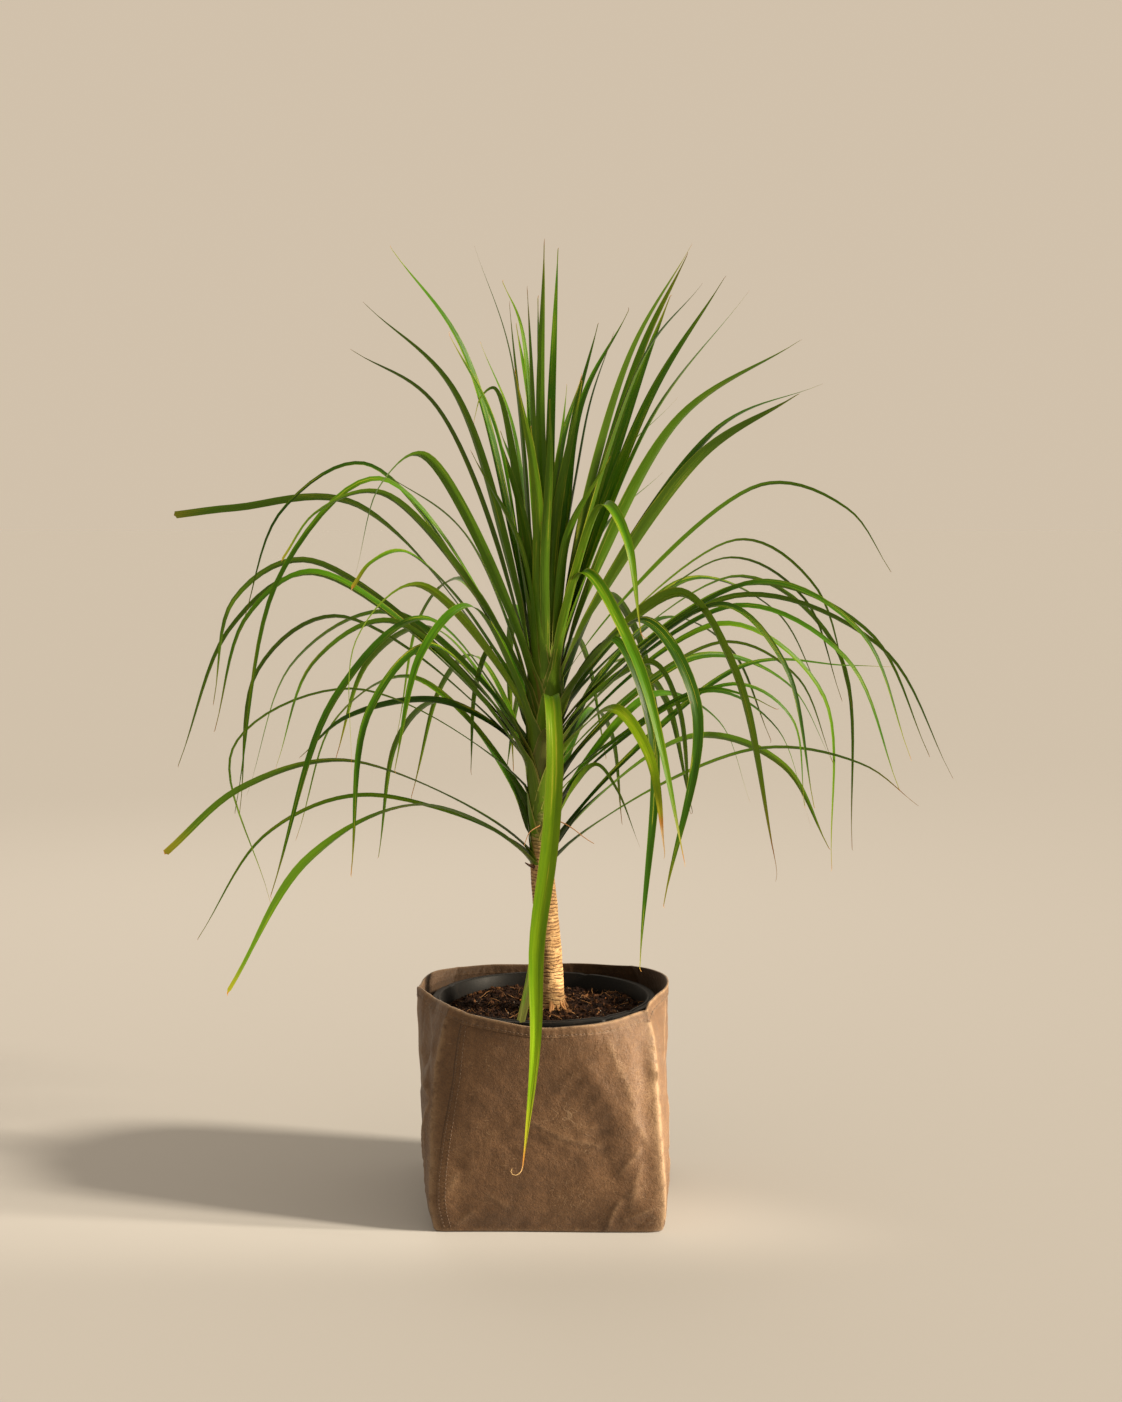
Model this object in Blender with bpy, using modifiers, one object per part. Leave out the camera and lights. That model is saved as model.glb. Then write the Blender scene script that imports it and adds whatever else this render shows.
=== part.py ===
"""Potted dragon tree: one cane with a crown of strap leaves, in a nursery pot inside a cloth bag.

Sizes are metres, +Z is up, and the origin is the middle of the bag's flat base.
+X is to the right and +Y away from the viewer. Angles run from +X towards +Y.
"""
import math
import random
from typing import NamedTuple

import bmesh
import bpy
from mathutils import Matrix, Vector

CLEARANCE = 0.0003
ROUND_SIDES = 48
CANE_SIDES = 14

# Cloth bag: rounded square at the base, pushed round at the mouth
BAG_BASE_HALF = 0.1150
BAG_MOUTH_RADIUS = 0.1245
BAG_MOUTH_SHIFT = -0.003
BAG_CLOTH = 0.002
BAG_RIM_HEIGHT = 0.2145
BAG_RIM_SIDES_UP = 0.0055
BAG_RIM_BACK_UP = 0.004
BAG_BASE_SQUARENESS = 12.0
BAG_MOUTH_SQUARENESS = 2.1
BAG_BASE_ROUND = 0.0025
BAG_HEM_WIDTH = 0.016
BAG_HEM_PROUD = 0.0008
BAG_HEM_STEP = 0.0013
BAG_SIDES = 56
BAG_WALL_RINGS = 5

# Black nursery pot that stands on the bag's floor
POT_X = -0.0035
POT_BASE = BAG_CLOTH + CLEARANCE
POT_WALL = 0.0015
POT_FLOOR = 0.002
POT_BASE_RADIUS = 0.078
POT_RIM_HEIGHT = 0.208
POT_RIM_RADIUS = 0.1135
POT_MOUTH_RADIUS = 0.1045
POT_RIM_SKIRT = 0.010
POT_FOOT_CHAMFER = 0.003
DRAIN_HOLES = 8
DRAIN_HOLE_RADIUS = 0.006
DRAIN_HOLE_CIRCLE = 0.060
DRAIN_HOLE_SIDES = 12

# Soil: its top lies a little below the rim, with gentle bumps
SOIL_HEIGHT = 0.1935
SOIL_BUMP = 0.0021
SOIL_BROAD_WAVE = 39.0
SOIL_SMALL_WAVE = 82.0
SOIL_RINGS = 8
ROOT_HOLE_DEPTH = 0.062

# Cane: flared at the soil, ringed by old leaf scars, slimmer inside the leaf sheaths
CANE_FOOT_X = 0.0055
CANE_WAIST_X = -0.0065
CANE_HEAD_X = -0.002
CANE_WAIST_HEIGHT = 0.380
CANE_ROOT_RADIUS = 0.0065
CANE_FLARE_RADIUS = 0.0145
CANE_RADIUS = 0.0120
CANE_NECK_RADIUS = 0.0090
CANE_TOP = 0.535
CANE_FLARE_HEIGHT = 0.022
NECK_SHOULDER = 0.006
NECK_GAP = 0.004
NECK_RINGS = 6
SCAR_PITCH = 0.0060
SCAR_GROOVE = 0.0018
SCAR_RELIEF = 0.0005

# Sheath column: the clasping leaf bases that hold the crown together
SHEATH_FOOT = 0.335
SHEATH_TOP = 0.611
SHEATH_OUTLINE = (
    (0.0, SHEATH_TOP),
    (0.0040, 0.605),
    (0.0130, 0.570),
    (0.0195, 0.530),
    (0.0190, 0.485),
    (0.0158, 0.425),
    (0.0136, 0.375),
    (0.0124, SHEATH_FOOT),
)

# Leaf blades
BLADE_THICKNESS = 0.0010
BLADE_TIP_WIDTH = 0.0016
SHEATH_WIDTH = 0.0125
ROOT_DEPTH_SHARE = 0.62
ROOT_LEAST_RADIUS = 0.0112
SHEATH_SHARE = 0.08
NECK_WIDTH = 0.80
FULL_SHARE = 0.40
TAPER_POWER = 2.2
TWIST_SHARE = 0.35
SHOULDER_OUT = 0.67
SHOULDER_DROP = 0.28
BASE_RISE = 0.040
BASE_LEAN = 0.002
SPLINE_SAMPLES = 16
BEND_WEIGHT = 0.055
SEGMENT_LENGTH = 0.064
ROLL_IN_PLANE = 48.0
ROLL_FALL = 0.40
ROLL_DRAW = (0.75, 1.20)
LEAF_SEED = 41

CLOTH_COLOUR = (0.155, 0.088, 0.048)
POT_COLOUR = (0.012, 0.012, 0.013)
SOIL_COLOUR = (0.030, 0.018, 0.011)
CANE_COLOUR = (0.430, 0.270, 0.120)
LEAF_COLOUR = (0.060, 0.160, 0.018)


class Leaf(NamedTuple):
    """One strap leaf: the way it points, where its sheath leaves the cane, and where it bends and ends.

    Bend and tip are (distance out from the cane, height above the floor) in the leaf's own upright plane.
    From the root the blade climbs to the bend, and if its tip is lower it hangs from there. Belly is how far
    the hanging part stands out past its natural course. Sway is how far the tip stands to the left of the
    plane, seen from the cane, and roll is how far the blade turns about its midrib in degrees. A leaf with no
    roll of its own turns by the rule in turned_leaf.
    """

    azimuth: float
    root: float
    width: float
    bend: tuple
    tip: tuple
    belly: float = 0.0
    sway: float = 0.0
    roll: float | None = None


UPRIGHT_LEAVES = (
    Leaf(178, 0.535, 0.012, (0.080, 0.855), (0.150, 0.955)),
    Leaf(150, 0.545, 0.011, (0.040, 0.850), (0.080, 0.960)),
    Leaf(200, 0.525, 0.012, (0.095, 0.815), (0.180, 0.895)),
    Leaf(165, 0.525, 0.012, (0.115, 0.805), (0.200, 0.860)),
    Leaf(215, 0.535, 0.015, (0.060, 0.780), (0.110, 0.865)),
    Leaf(190, 0.545, 0.013, (0.050, 0.820), (0.070, 0.790)),
    Leaf(120, 0.555, 0.009, (0.050, 0.880), (0.085, 0.930)),
    Leaf(170, 0.555, 0.009, (0.020, 0.740), (0.035, 0.900)),
    Leaf(250, 0.555, 0.009, (0.030, 0.760), (0.055, 0.910)),
    Leaf(265, 0.555, 0.011, (0.020, 0.780), (0.035, 0.955)),
    Leaf(75, 0.555, 0.010, (0.030, 0.780), (0.045, 0.960)),
    Leaf(100, 0.555, 0.008, (0.020, 0.750), (0.035, 0.910)),
    Leaf(60, 0.555, 0.010, (0.060, 0.790), (0.105, 0.890)),
    Leaf(35, 0.555, 0.010, (0.050, 0.790), (0.085, 0.875)),
    Leaf(5, 0.550, 0.017, (0.085, 0.850), (0.145, 0.960)),
    Leaf(350, 0.545, 0.014, (0.095, 0.850), (0.140, 0.945)),
    Leaf(25, 0.550, 0.014, (0.105, 0.830), (0.140, 0.915)),
    Leaf(330, 0.545, 0.016, (0.110, 0.845), (0.170, 0.910)),
    Leaf(15, 0.540, 0.013, (0.105, 0.805), (0.185, 0.930)),
    Leaf(340, 0.535, 0.013, (0.110, 0.785), (0.205, 0.905)),
    Leaf(355, 0.525, 0.017, (0.130, 0.785), (0.250, 0.865)),
    Leaf(20, 0.520, 0.013, (0.185, 0.780), (0.305, 0.830)),
    Leaf(345, 0.525, 0.016, (0.155, 0.750), (0.250, 0.810)),
)

RIGHT_LEAVES = (
    Leaf(0, 0.520, 0.007, (0.215, 0.725), (0.345, 0.640)),
    Leaf(12, 0.505, 0.006, (0.200, 0.670), (0.325, 0.500)),
    Leaf(22, 0.495, 0.006, (0.200, 0.650), (0.340, 0.500)),
    Leaf(345, 0.475, 0.010, (0.215, 0.630), (0.365, 0.465)),
    Leaf(30, 0.485, 0.008, (0.235, 0.630), (0.390, 0.330), belly=0.030),
    Leaf(355, 0.460, 0.009, (0.190, 0.605), (0.355, 0.425)),
    Leaf(352, 0.470, 0.009, (0.190, 0.615), (0.405, 0.440)),
    Leaf(8, 0.475, 0.007, (0.205, 0.625), (0.400, 0.450)),
    Leaf(335, 0.455, 0.009, (0.190, 0.610), (0.285, 0.420)),
    Leaf(10, 0.445, 0.009, (0.185, 0.585), (0.305, 0.330), belly=0.025),
    Leaf(350, 0.435, 0.007, (0.180, 0.570), (0.290, 0.455)),
    Leaf(15, 0.395, 0.007, (0.175, 0.515), (0.290, 0.375)),
    Leaf(340, 0.405, 0.007, (0.165, 0.525), (0.240, 0.510)),
    Leaf(5, 0.415, 0.006, (0.195, 0.525), (0.270, 0.400), belly=0.010),
    Leaf(25, 0.355, 0.009, (0.230, 0.535), (0.420, 0.530)),
    Leaf(10, 0.345, 0.008, (0.215, 0.455), (0.395, 0.395)),
)

LEFT_LEAVES = (
    Leaf(172, 0.485, 0.011, (0.190, 0.705), (0.380, 0.695)),
    Leaf(185, 0.495, 0.006, (0.175, 0.745), (0.300, 0.585)),
    Leaf(195, 0.505, 0.008, (0.165, 0.730), (0.310, 0.410)),
    Leaf(210, 0.510, 0.011, (0.175, 0.715), (0.280, 0.655)),
    Leaf(235, 0.515, 0.013, (0.190, 0.750), (0.290, 0.645)),
    Leaf(180, 0.455, 0.009, (0.235, 0.650), (0.330, 0.510), belly=0.010),
    Leaf(188, 0.450, 0.009, (0.225, 0.640), (0.325, 0.485)),
    Leaf(168, 0.445, 0.009, (0.240, 0.635), (0.390, 0.435), belly=-0.010),
    Leaf(160, 0.440, 0.007, (0.225, 0.590), (0.345, 0.380), belly=0.015),
    Leaf(222, 0.485, 0.014, (0.170, 0.660), (0.235, 0.630)),
    Leaf(240, 0.465, 0.012, (0.135, 0.610), (0.260, 0.470)),
    Leaf(225, 0.475, 0.012, (0.165, 0.630), (0.250, 0.455), belly=0.020),
    Leaf(190, 0.435, 0.011, (0.150, 0.590), (0.265, 0.450)),
    Leaf(215, 0.435, 0.010, (0.130, 0.570), (0.220, 0.355), belly=0.010),
    Leaf(205, 0.445, 0.011, (0.125, 0.595), (0.285, 0.335), belly=-0.015),
    Leaf(150, 0.455, 0.008, (0.060, 0.560), (0.085, 0.435)),
    Leaf(175, 0.415, 0.009, (0.190, 0.520), (0.280, 0.300), belly=0.065),
    Leaf(165, 0.445, 0.011, (0.100, 0.505), (0.260, 0.445)),
    Leaf(185, 0.355, 0.009, (0.190, 0.450), (0.375, 0.360), belly=-0.015),
    Leaf(200, 0.345, 0.013, (0.125, 0.410), (0.320, 0.240), belly=-0.015),
    Leaf(170, 0.350, 0.006, (0.180, 0.410), (0.365, 0.255), belly=-0.015),
)

# The last of these hangs in front of the pot nearly to the floor
FRONT_LEAVES = (
    Leaf(300, 0.525, 0.013, (0.115, 0.705), (0.180, 0.590), roll=20.0),
    Leaf(303, 0.510, 0.015, (0.070, 0.640), (0.235, 0.380), belly=-0.025, roll=25.0),
    Leaf(335, 0.495, 0.014, (0.145, 0.620), (0.245, 0.365), belly=-0.010),
    Leaf(315, 0.485, 0.013, (0.135, 0.595), (0.165, 0.325), belly=0.045),
    Leaf(322, 0.475, 0.011, (0.085, 0.575), (0.120, 0.255), belly=0.025),
    Leaf(345, 0.470, 0.011, (0.110, 0.550), (0.150, 0.405)),
    Leaf(352, 0.375, 0.009, (0.055, 0.445), (0.100, 0.365), belly=-0.010),
    Leaf(310, 0.435, 0.012, (0.110, 0.510), (0.180, 0.380)),
    Leaf(272, 0.465, 0.010, (0.060, 0.485), (0.130, 0.215), sway=-0.022, roll=-10.0),
    Leaf(275, 0.475, 0.014, (0.085, 0.520), (0.165, 0.085), sway=-0.030, roll=8.0),
)

# The far side follows a rule: each leaf turns on by the golden angle and starts higher than the last.
# Past FAR_STANDING of the way up the leaves stand, and below it they arch over and hang.
GOLDEN_TURN = 0.381966
FAR_LEAVES = 26
FAR_MIDDLE = 90.0
FAR_SPREAD = 132.0
FAR_ROOTS = (0.355, 0.545)
FAR_REACH = (0.88, 1.08)
FAR_STANDING = 0.68
FAR_TIPS_UP = (0.700, 0.900)
FAR_TIPS_OUT = (0.260, 0.100)
FAR_CREST_OUT = 0.175
FAR_CREST_RISE = (0.115, 0.175)
FAR_HANG_OUT = 0.180
FAR_DROP = (0.11, 0.21)
FAR_WIDTH = (0.008, 0.012)
FAR_SWAY = 0.03
FAR_BEND = (0.45, 0.72)
FAR_CREST_PLAY = 0.01
FAR_TIP_PLAY = (-0.02, 0.03)

# A few more stand inside the upright fan on the near side
NEAR_LEAVES = 8
NEAR_MIDDLE = 270.0
NEAR_SPREAD = 110.0
NEAR_ROOTS = (0.485, 0.545)
NEAR_TIPS_UP = (0.720, 0.840)
NEAR_TIPS_OUT = (0.050, 0.110)
NEAR_WIDTH = (0.009, 0.012)
NEAR_SWAY = 0.01
NEAR_BEND = (0.35, 0.62)


def cane_x(height):
    """The cane's slight S in the picture plane: its middle at that height."""
    if height < CANE_WAIST_HEIGHT:
        rise = (height - SOIL_HEIGHT) / (CANE_WAIST_HEIGHT - SOIL_HEIGHT)
        return between((CANE_FOOT_X, CANE_WAIST_X), eased(rise))
    rise = (height - CANE_WAIST_HEIGHT) / (CANE_TOP - CANE_WAIST_HEIGHT)
    return between((CANE_WAIST_X, CANE_HEAD_X), eased(rise))


def step_between(points, height):
    """Radius on a falling outline of (radius, height) points."""
    for (upper_radius, upper), (lower_radius, lower) in zip(points, points[1:]):
        if lower <= height <= upper:
            share = (height - lower) / (upper - lower)
            return between((lower_radius, upper_radius), share)
    return points[-1][0]


def between(limits, share):
    """The value at a share of the way from the first limit to the second."""
    return limits[0] + (limits[1] - limits[0]) * share


def far_leaf(number, draw):
    """One leaf of the far side, the lowest first."""
    azimuth = FAR_MIDDLE + ((number * GOLDEN_TURN) % 1.0 - 0.5) * FAR_SPREAD
    rank = number / (FAR_LEAVES - 1)
    root = between(FAR_ROOTS, rank)
    reach = draw.uniform(*FAR_REACH)
    if rank > FAR_STANDING:
        share = (rank - FAR_STANDING) / (1.0 - FAR_STANDING)
        tip_up = between(FAR_TIPS_UP, share) + draw.uniform(*FAR_TIP_PLAY)
        tip = (between(FAR_TIPS_OUT, share) * reach, tip_up)
        bend = (tip[0] * FAR_BEND[0], between((root, tip[1]), FAR_BEND[1]))
    else:
        rise = between(FAR_CREST_RISE, rank) + draw.uniform(-FAR_CREST_PLAY, FAR_CREST_PLAY)
        bend = (FAR_CREST_OUT * reach, root + rise)
        tip = (bend[0] + FAR_HANG_OUT * reach, bend[1] - draw.uniform(*FAR_DROP))
    return Leaf(azimuth, root, draw.uniform(*FAR_WIDTH), bend, tip, sway=draw.uniform(-FAR_SWAY, FAR_SWAY))


def near_leaf(number, draw):
    """One upright leaf of the near side, the lowest first."""
    azimuth = NEAR_MIDDLE + ((number * GOLDEN_TURN) % 1.0 - 0.5) * NEAR_SPREAD
    root = between(NEAR_ROOTS, number / (NEAR_LEAVES - 1))
    tip = (draw.uniform(*NEAR_TIPS_OUT), draw.uniform(*NEAR_TIPS_UP))
    bend = (tip[0] * NEAR_BEND[0], between((root, tip[1]), NEAR_BEND[1]))
    return Leaf(azimuth, root, draw.uniform(*NEAR_WIDTH), bend, tip, sway=draw.uniform(-NEAR_SWAY, NEAR_SWAY))


def turned_leaf(leaf, draw):
    """The leaf with its roll settled: a blade that would stand edge-on to the front turns towards it."""
    aside = abs(math.degrees(math.asin(math.sin(math.radians(leaf.azimuth)))))
    turn = (ROLL_IN_PLANE - ROLL_FALL * aside) * draw.uniform(*ROLL_DRAW)
    sign = draw.choice((-1.0, 1.0))
    if leaf.roll is None:
        return leaf._replace(roll=turn * sign)
    return leaf


def all_leaves():
    """Every leaf of the crown with its roll."""
    draw = random.Random(LEAF_SEED)
    leaves = [*UPRIGHT_LEAVES, *RIGHT_LEAVES, *LEFT_LEAVES, *FRONT_LEAVES]
    leaves += [far_leaf(number, draw) for number in range(FAR_LEAVES)]
    leaves += [near_leaf(number, draw) for number in range(NEAR_LEAVES)]
    return [turned_leaf(leaf, draw) for leaf in leaves]


def leaf_plane(leaf, root_radius):
    """The points that the midrib passes: its root, its bend, a shoulder where it hangs, and its tip."""
    points = [Vector((root_radius, leaf.root)), Vector(leaf.bend)]
    drop = leaf.bend[1] - leaf.tip[1]
    if drop > 0.0:
        out = between((leaf.bend[0], leaf.tip[0]), SHOULDER_OUT) + leaf.belly
        points.append(Vector((out, leaf.bend[1] - drop * SHOULDER_DROP)))
    points.append(Vector(leaf.tip))
    return points


def eased(value):
    """A smooth step from 0 to 1."""
    value = min(max(value, 0.0), 1.0)
    return value * value * (3.0 - 2.0 * value)


def spline_through(points):
    """A smooth curve through the points, close-knit enough to be measured along. It starts nearly upright."""
    first, last = points[0], points[-1]
    before = Vector((first.x - BASE_LEAN, first.y - BASE_RISE))
    after = last + (last - points[-2])
    ring = [before, *points, after]
    curve = []
    for p0, p1, p2, p3 in zip(ring, ring[1:], ring[2:], ring[3:]):
        knot1 = (p1 - p0).length ** 0.5
        knot2 = knot1 + (p2 - p1).length ** 0.5
        knot3 = knot2 + (p3 - p2).length ** 0.5
        for step in range(SPLINE_SAMPLES):
            at = knot1 + (knot2 - knot1) * step / SPLINE_SAMPLES
            a1 = p0.lerp(p1, at / knot1)
            a2 = p1.lerp(p2, (at - knot1) / (knot2 - knot1))
            a3 = p2.lerp(p3, (at - knot2) / (knot3 - knot2))
            b1 = a1.lerp(a2, at / knot2)
            b2 = a2.lerp(a3, (at - knot1) / (knot3 - knot1))
            curve.append(b1.lerp(b2, (at - knot1) / (knot2 - knot1)))
    curve.append(last)
    return curve


def blade_stations(curve):
    """Stations along the curve, closer together where it bends, each with its share of the length."""
    lengths = [0.0]
    costs = [0.0]
    for index in range(1, len(curve)):
        run = (curve[index] - curve[index - 1]).length
        bend = 0.0
        if index < len(curve) - 1:
            bend = (curve[index] - curve[index - 1]).angle(curve[index + 1] - curve[index])
        lengths.append(lengths[-1] + run)
        costs.append(costs[-1] + run + BEND_WEIGHT * bend)
    count = max(4, round(costs[-1] / SEGMENT_LENGTH))
    stations = []
    index = 1
    for step in range(count + 1):
        target = costs[-1] * step / count
        while index < len(costs) - 1 and costs[index] < target:
            index += 1
        share = (target - costs[index - 1]) / (costs[index] - costs[index - 1])
        point = curve[index - 1].lerp(curve[index], share)
        along = lengths[index - 1] + (lengths[index] - lengths[index - 1]) * share
        stations.append((point, along / lengths[-1]))
    return stations


def blade_width(leaf, share):
    """Width at a share of the length: a clasping sheath, a narrow neck, a full middle and a long point."""
    full = leaf.width
    if share < SHEATH_SHARE:
        return between((SHEATH_WIDTH, full * NECK_WIDTH), share / SHEATH_SHARE)
    if share < FULL_SHARE:
        swell = math.sin((share - SHEATH_SHARE) / (FULL_SHARE - SHEATH_SHARE) * math.pi / 2.0)
        return full * between((NECK_WIDTH, 1.0), swell)
    fall = (share - FULL_SHARE) / (1.0 - FULL_SHARE)
    return max(full * (1.0 - fall ** TAPER_POWER), BLADE_TIP_WIDTH)


def blade_sections(leaf):
    """The four corners of the blade at each station, from the sheath to the tip."""
    angle = math.radians(leaf.azimuth)
    outward = Vector((math.cos(angle), math.sin(angle), 0.0))
    across = Vector((-math.sin(angle), math.cos(angle), 0.0))
    core = step_between(SHEATH_OUTLINE, leaf.root)
    root_radius = max(ROOT_LEAST_RADIUS, core * ROOT_DEPTH_SHARE)
    stations = blade_stations(spline_through(leaf_plane(leaf, root_radius)))
    middle = Vector((cane_x(leaf.root), 0.0, 0.0))
    centres = []
    for point, share in stations:
        place = middle + outward * point.x + across * (leaf.sway * share * share)
        centres.append(place + Vector((0.0, 0.0, point.y)))
    sections = []
    for index, (point, share) in enumerate(stations):
        tangent = centres[min(index + 1, len(centres) - 1)] - centres[max(index - 1, 0)]
        tangent.normalize()
        side = (across - tangent * across.dot(tangent)).normalized()
        side.rotate(Matrix.Rotation(math.radians(leaf.roll) * eased(share / TWIST_SHARE), 3, tangent))
        face = side.cross(tangent) * (BLADE_THICKNESS / 2.0)
        half = side * (blade_width(leaf, share) / 2.0)
        centre = centres[index]
        under, over = centre - face, centre + face
        sections.append((under - half, under + half, over + half, over - half))
    return sections


def object_from(name, build_mesh, collection):
    """Link an object that holds the mesh that the given bmesh makes."""
    mesh = bpy.data.meshes.new(name)
    build_mesh.to_mesh(mesh)
    build_mesh.free()
    piece = bpy.data.objects.new(name, mesh)
    collection.objects.link(piece)
    return piece


def blade_object(leaf, collection):
    """One closed blade, lofted through its sections, with both faces split alike."""
    build = bmesh.new()
    rings = [[build.verts.new(corner) for corner in section] for section in blade_sections(leaf)]
    for lower, upper in zip(rings, rings[1:]):
        for side in range(4):
            after = (side + 1) % 4
            if side == 2:
                build.faces.new((lower[side], lower[after], upper[side]))
                build.faces.new((lower[after], upper[after], upper[side]))
            else:
                build.faces.new((lower[side], lower[after], upper[after]))
                build.faces.new((lower[side], upper[after], upper[side]))
    build.faces.new(reversed(rings[0]))
    build.faces.new(rings[-1])
    bmesh.ops.recalc_face_normals(build, faces=build.faces)
    return object_from("blade", build, collection)


def turned_object(name, outline, sides, collection):
    """A body turned about the Z axis from (radius, height) points that run down its outer side."""
    build = bmesh.new()
    corners = [build.verts.new((radius, 0.0, height)) for radius, height in outline]
    for start, end in zip(corners, corners[1:]):
        build.edges.new((start, end))
    piece = object_from(name, build, collection)
    screw = piece.modifiers.new("Turn", "SCREW")
    screw.steps = sides
    screw.render_steps = sides
    screw.use_merge_vertices = True
    screw.merge_threshold = 0.00005
    apply_modifiers(piece)
    return piece


def apply_modifiers(piece):
    """Replace the object's mesh by its evaluated one and drop its modifiers."""
    depsgraph = bpy.context.evaluated_depsgraph_get()
    finished = bpy.data.meshes.new_from_object(piece.evaluated_get(depsgraph))
    piece.modifiers.clear()
    piece.data = finished


def keep_largest_body(piece):
    """Drop the crumbs and sealed hollows that fusing leaves, and keep the one body that holds together."""
    build = bmesh.new()
    build.from_mesh(piece.data)
    unseen = set(build.faces)
    bodies = []
    while unseen:
        body = [unseen.pop()]
        for face in body:
            for edge in face.edges:
                for beside in edge.link_faces:
                    if beside in unseen:
                        unseen.remove(beside)
                        body.append(beside)
        bodies.append(body)
    bodies.sort(key=len)
    for body in bodies[:-1]:
        bmesh.ops.delete(build, geom=body, context="FACES")
    build.to_mesh(piece.data)
    build.free()


def lean_with_cane(piece):
    """Shift a straight turned body sideways so that it follows the cane."""
    for vertex in piece.data.vertices:
        vertex.co.x += cane_x(vertex.co.z)


def paint(piece, colour, roughness):
    """Give the object its own plain material."""
    material = bpy.data.materials.new(piece.name)
    material.use_nodes = True
    shader = material.node_tree.nodes["Principled BSDF"]
    shader.inputs["Base Color"].default_value = (*colour, 1.0)
    shader.inputs["Roughness"].default_value = roughness
    shader.inputs["Metallic"].default_value = 0.0
    piece.data.materials.clear()
    piece.data.materials.append(material)


def bag_rim(angle):
    """Height of the bag's rim: higher at the two sides, lowest in front."""
    return BAG_RIM_HEIGHT + BAG_RIM_SIDES_UP * math.cos(2.0 * angle) + BAG_RIM_BACK_UP * math.sin(angle)


def bag_point(angle, share, inset, height, proud):
    """A point of the bag's outer face, where share runs from 0 at the base to 1 at the rim."""
    squareness = between((BAG_BASE_SQUARENESS, BAG_MOUTH_SQUARENESS), share)
    half = between((BAG_BASE_HALF, BAG_MOUTH_RADIUS), share) - inset + proud
    spread = abs(math.cos(angle)) ** squareness + abs(math.sin(angle)) ** squareness
    radius = half / spread ** (1.0 / squareness)
    return (radius * math.cos(angle) + BAG_MOUTH_SHIFT * share, radius * math.sin(angle), height)


def bag_levels():
    """The bag's rings from the base up: share of the height, inset, and how far it stands proud."""
    foot = BAG_BASE_ROUND / BAG_RIM_HEIGHT
    levels = [(0.0, BAG_BASE_ROUND, 0.0), (foot / 3.0, BAG_BASE_ROUND / 3.0, 0.0), (foot, 0.0, 0.0)]
    hem = 1.0 - BAG_HEM_WIDTH / BAG_RIM_HEIGHT
    for ring in range(1, BAG_WALL_RINGS):
        levels.append((foot + (hem - foot) * ring / BAG_WALL_RINGS, 0.0, 0.0))
    hem_foot = hem - BAG_HEM_STEP / BAG_RIM_HEIGHT
    levels += [(hem_foot, 0.0, 0.0), (hem, 0.0, BAG_HEM_PROUD), (1.0, 0.0, BAG_HEM_PROUD)]
    return levels


def make_bag(collection):
    """The cloth bag: an open surface with a flat base, given the cloth's thickness inwards."""
    build = bmesh.new()
    rings = []
    for share, inset, proud in bag_levels():
        ring = []
        for step in range(BAG_SIDES):
            angle = 2.0 * math.pi * step / BAG_SIDES
            height = bag_rim(angle) * share
            ring.append(build.verts.new(bag_point(angle, share, inset, height, proud)))
        rings.append(ring)
    for lower, upper in zip(rings, rings[1:]):
        for step in range(BAG_SIDES):
            after = (step + 1) % BAG_SIDES
            build.faces.new((lower[step], lower[after], upper[after], upper[step]))
    build.faces.new(reversed(rings[0]))
    bag = object_from("cloth_bag", build, collection)
    wall = bag.modifiers.new("Cloth", "SOLIDIFY")
    wall.thickness = BAG_CLOTH
    wall.offset = -1.0
    wall.use_even_offset = True
    bag.data.shade_smooth()
    paint(bag, CLOTH_COLOUR, 0.75)
    return bag


def pot_inner_radius(height):
    """Radius of the pot's tapered inner wall."""
    low = POT_BASE + POT_FLOOR
    share = (height - low) / (POT_RIM_HEIGHT - low)
    inner_base = POT_BASE_RADIUS - POT_WALL
    return between((inner_base, POT_MOUTH_RADIUS), share)


def drain_cutter(number, cutters):
    """One cutter through the pot's floor."""
    angle = 2.0 * math.pi * (number + 0.5) / DRAIN_HOLES
    build = bmesh.new()
    bmesh.ops.create_cone(
        build,
        cap_ends=True,
        segments=DRAIN_HOLE_SIDES,
        radius1=DRAIN_HOLE_RADIUS,
        radius2=DRAIN_HOLE_RADIUS,
        depth=POT_FLOOR * 6.0,
    )
    place = Vector((DRAIN_HOLE_CIRCLE * math.cos(angle), DRAIN_HOLE_CIRCLE * math.sin(angle), POT_BASE))
    bmesh.ops.translate(build, verts=build.verts, vec=place)
    cutter = object_from("drain_cutter", build, cutters)
    cutter.hide_render = True
    cutter.display_type = "WIRE"
    return cutter


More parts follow.
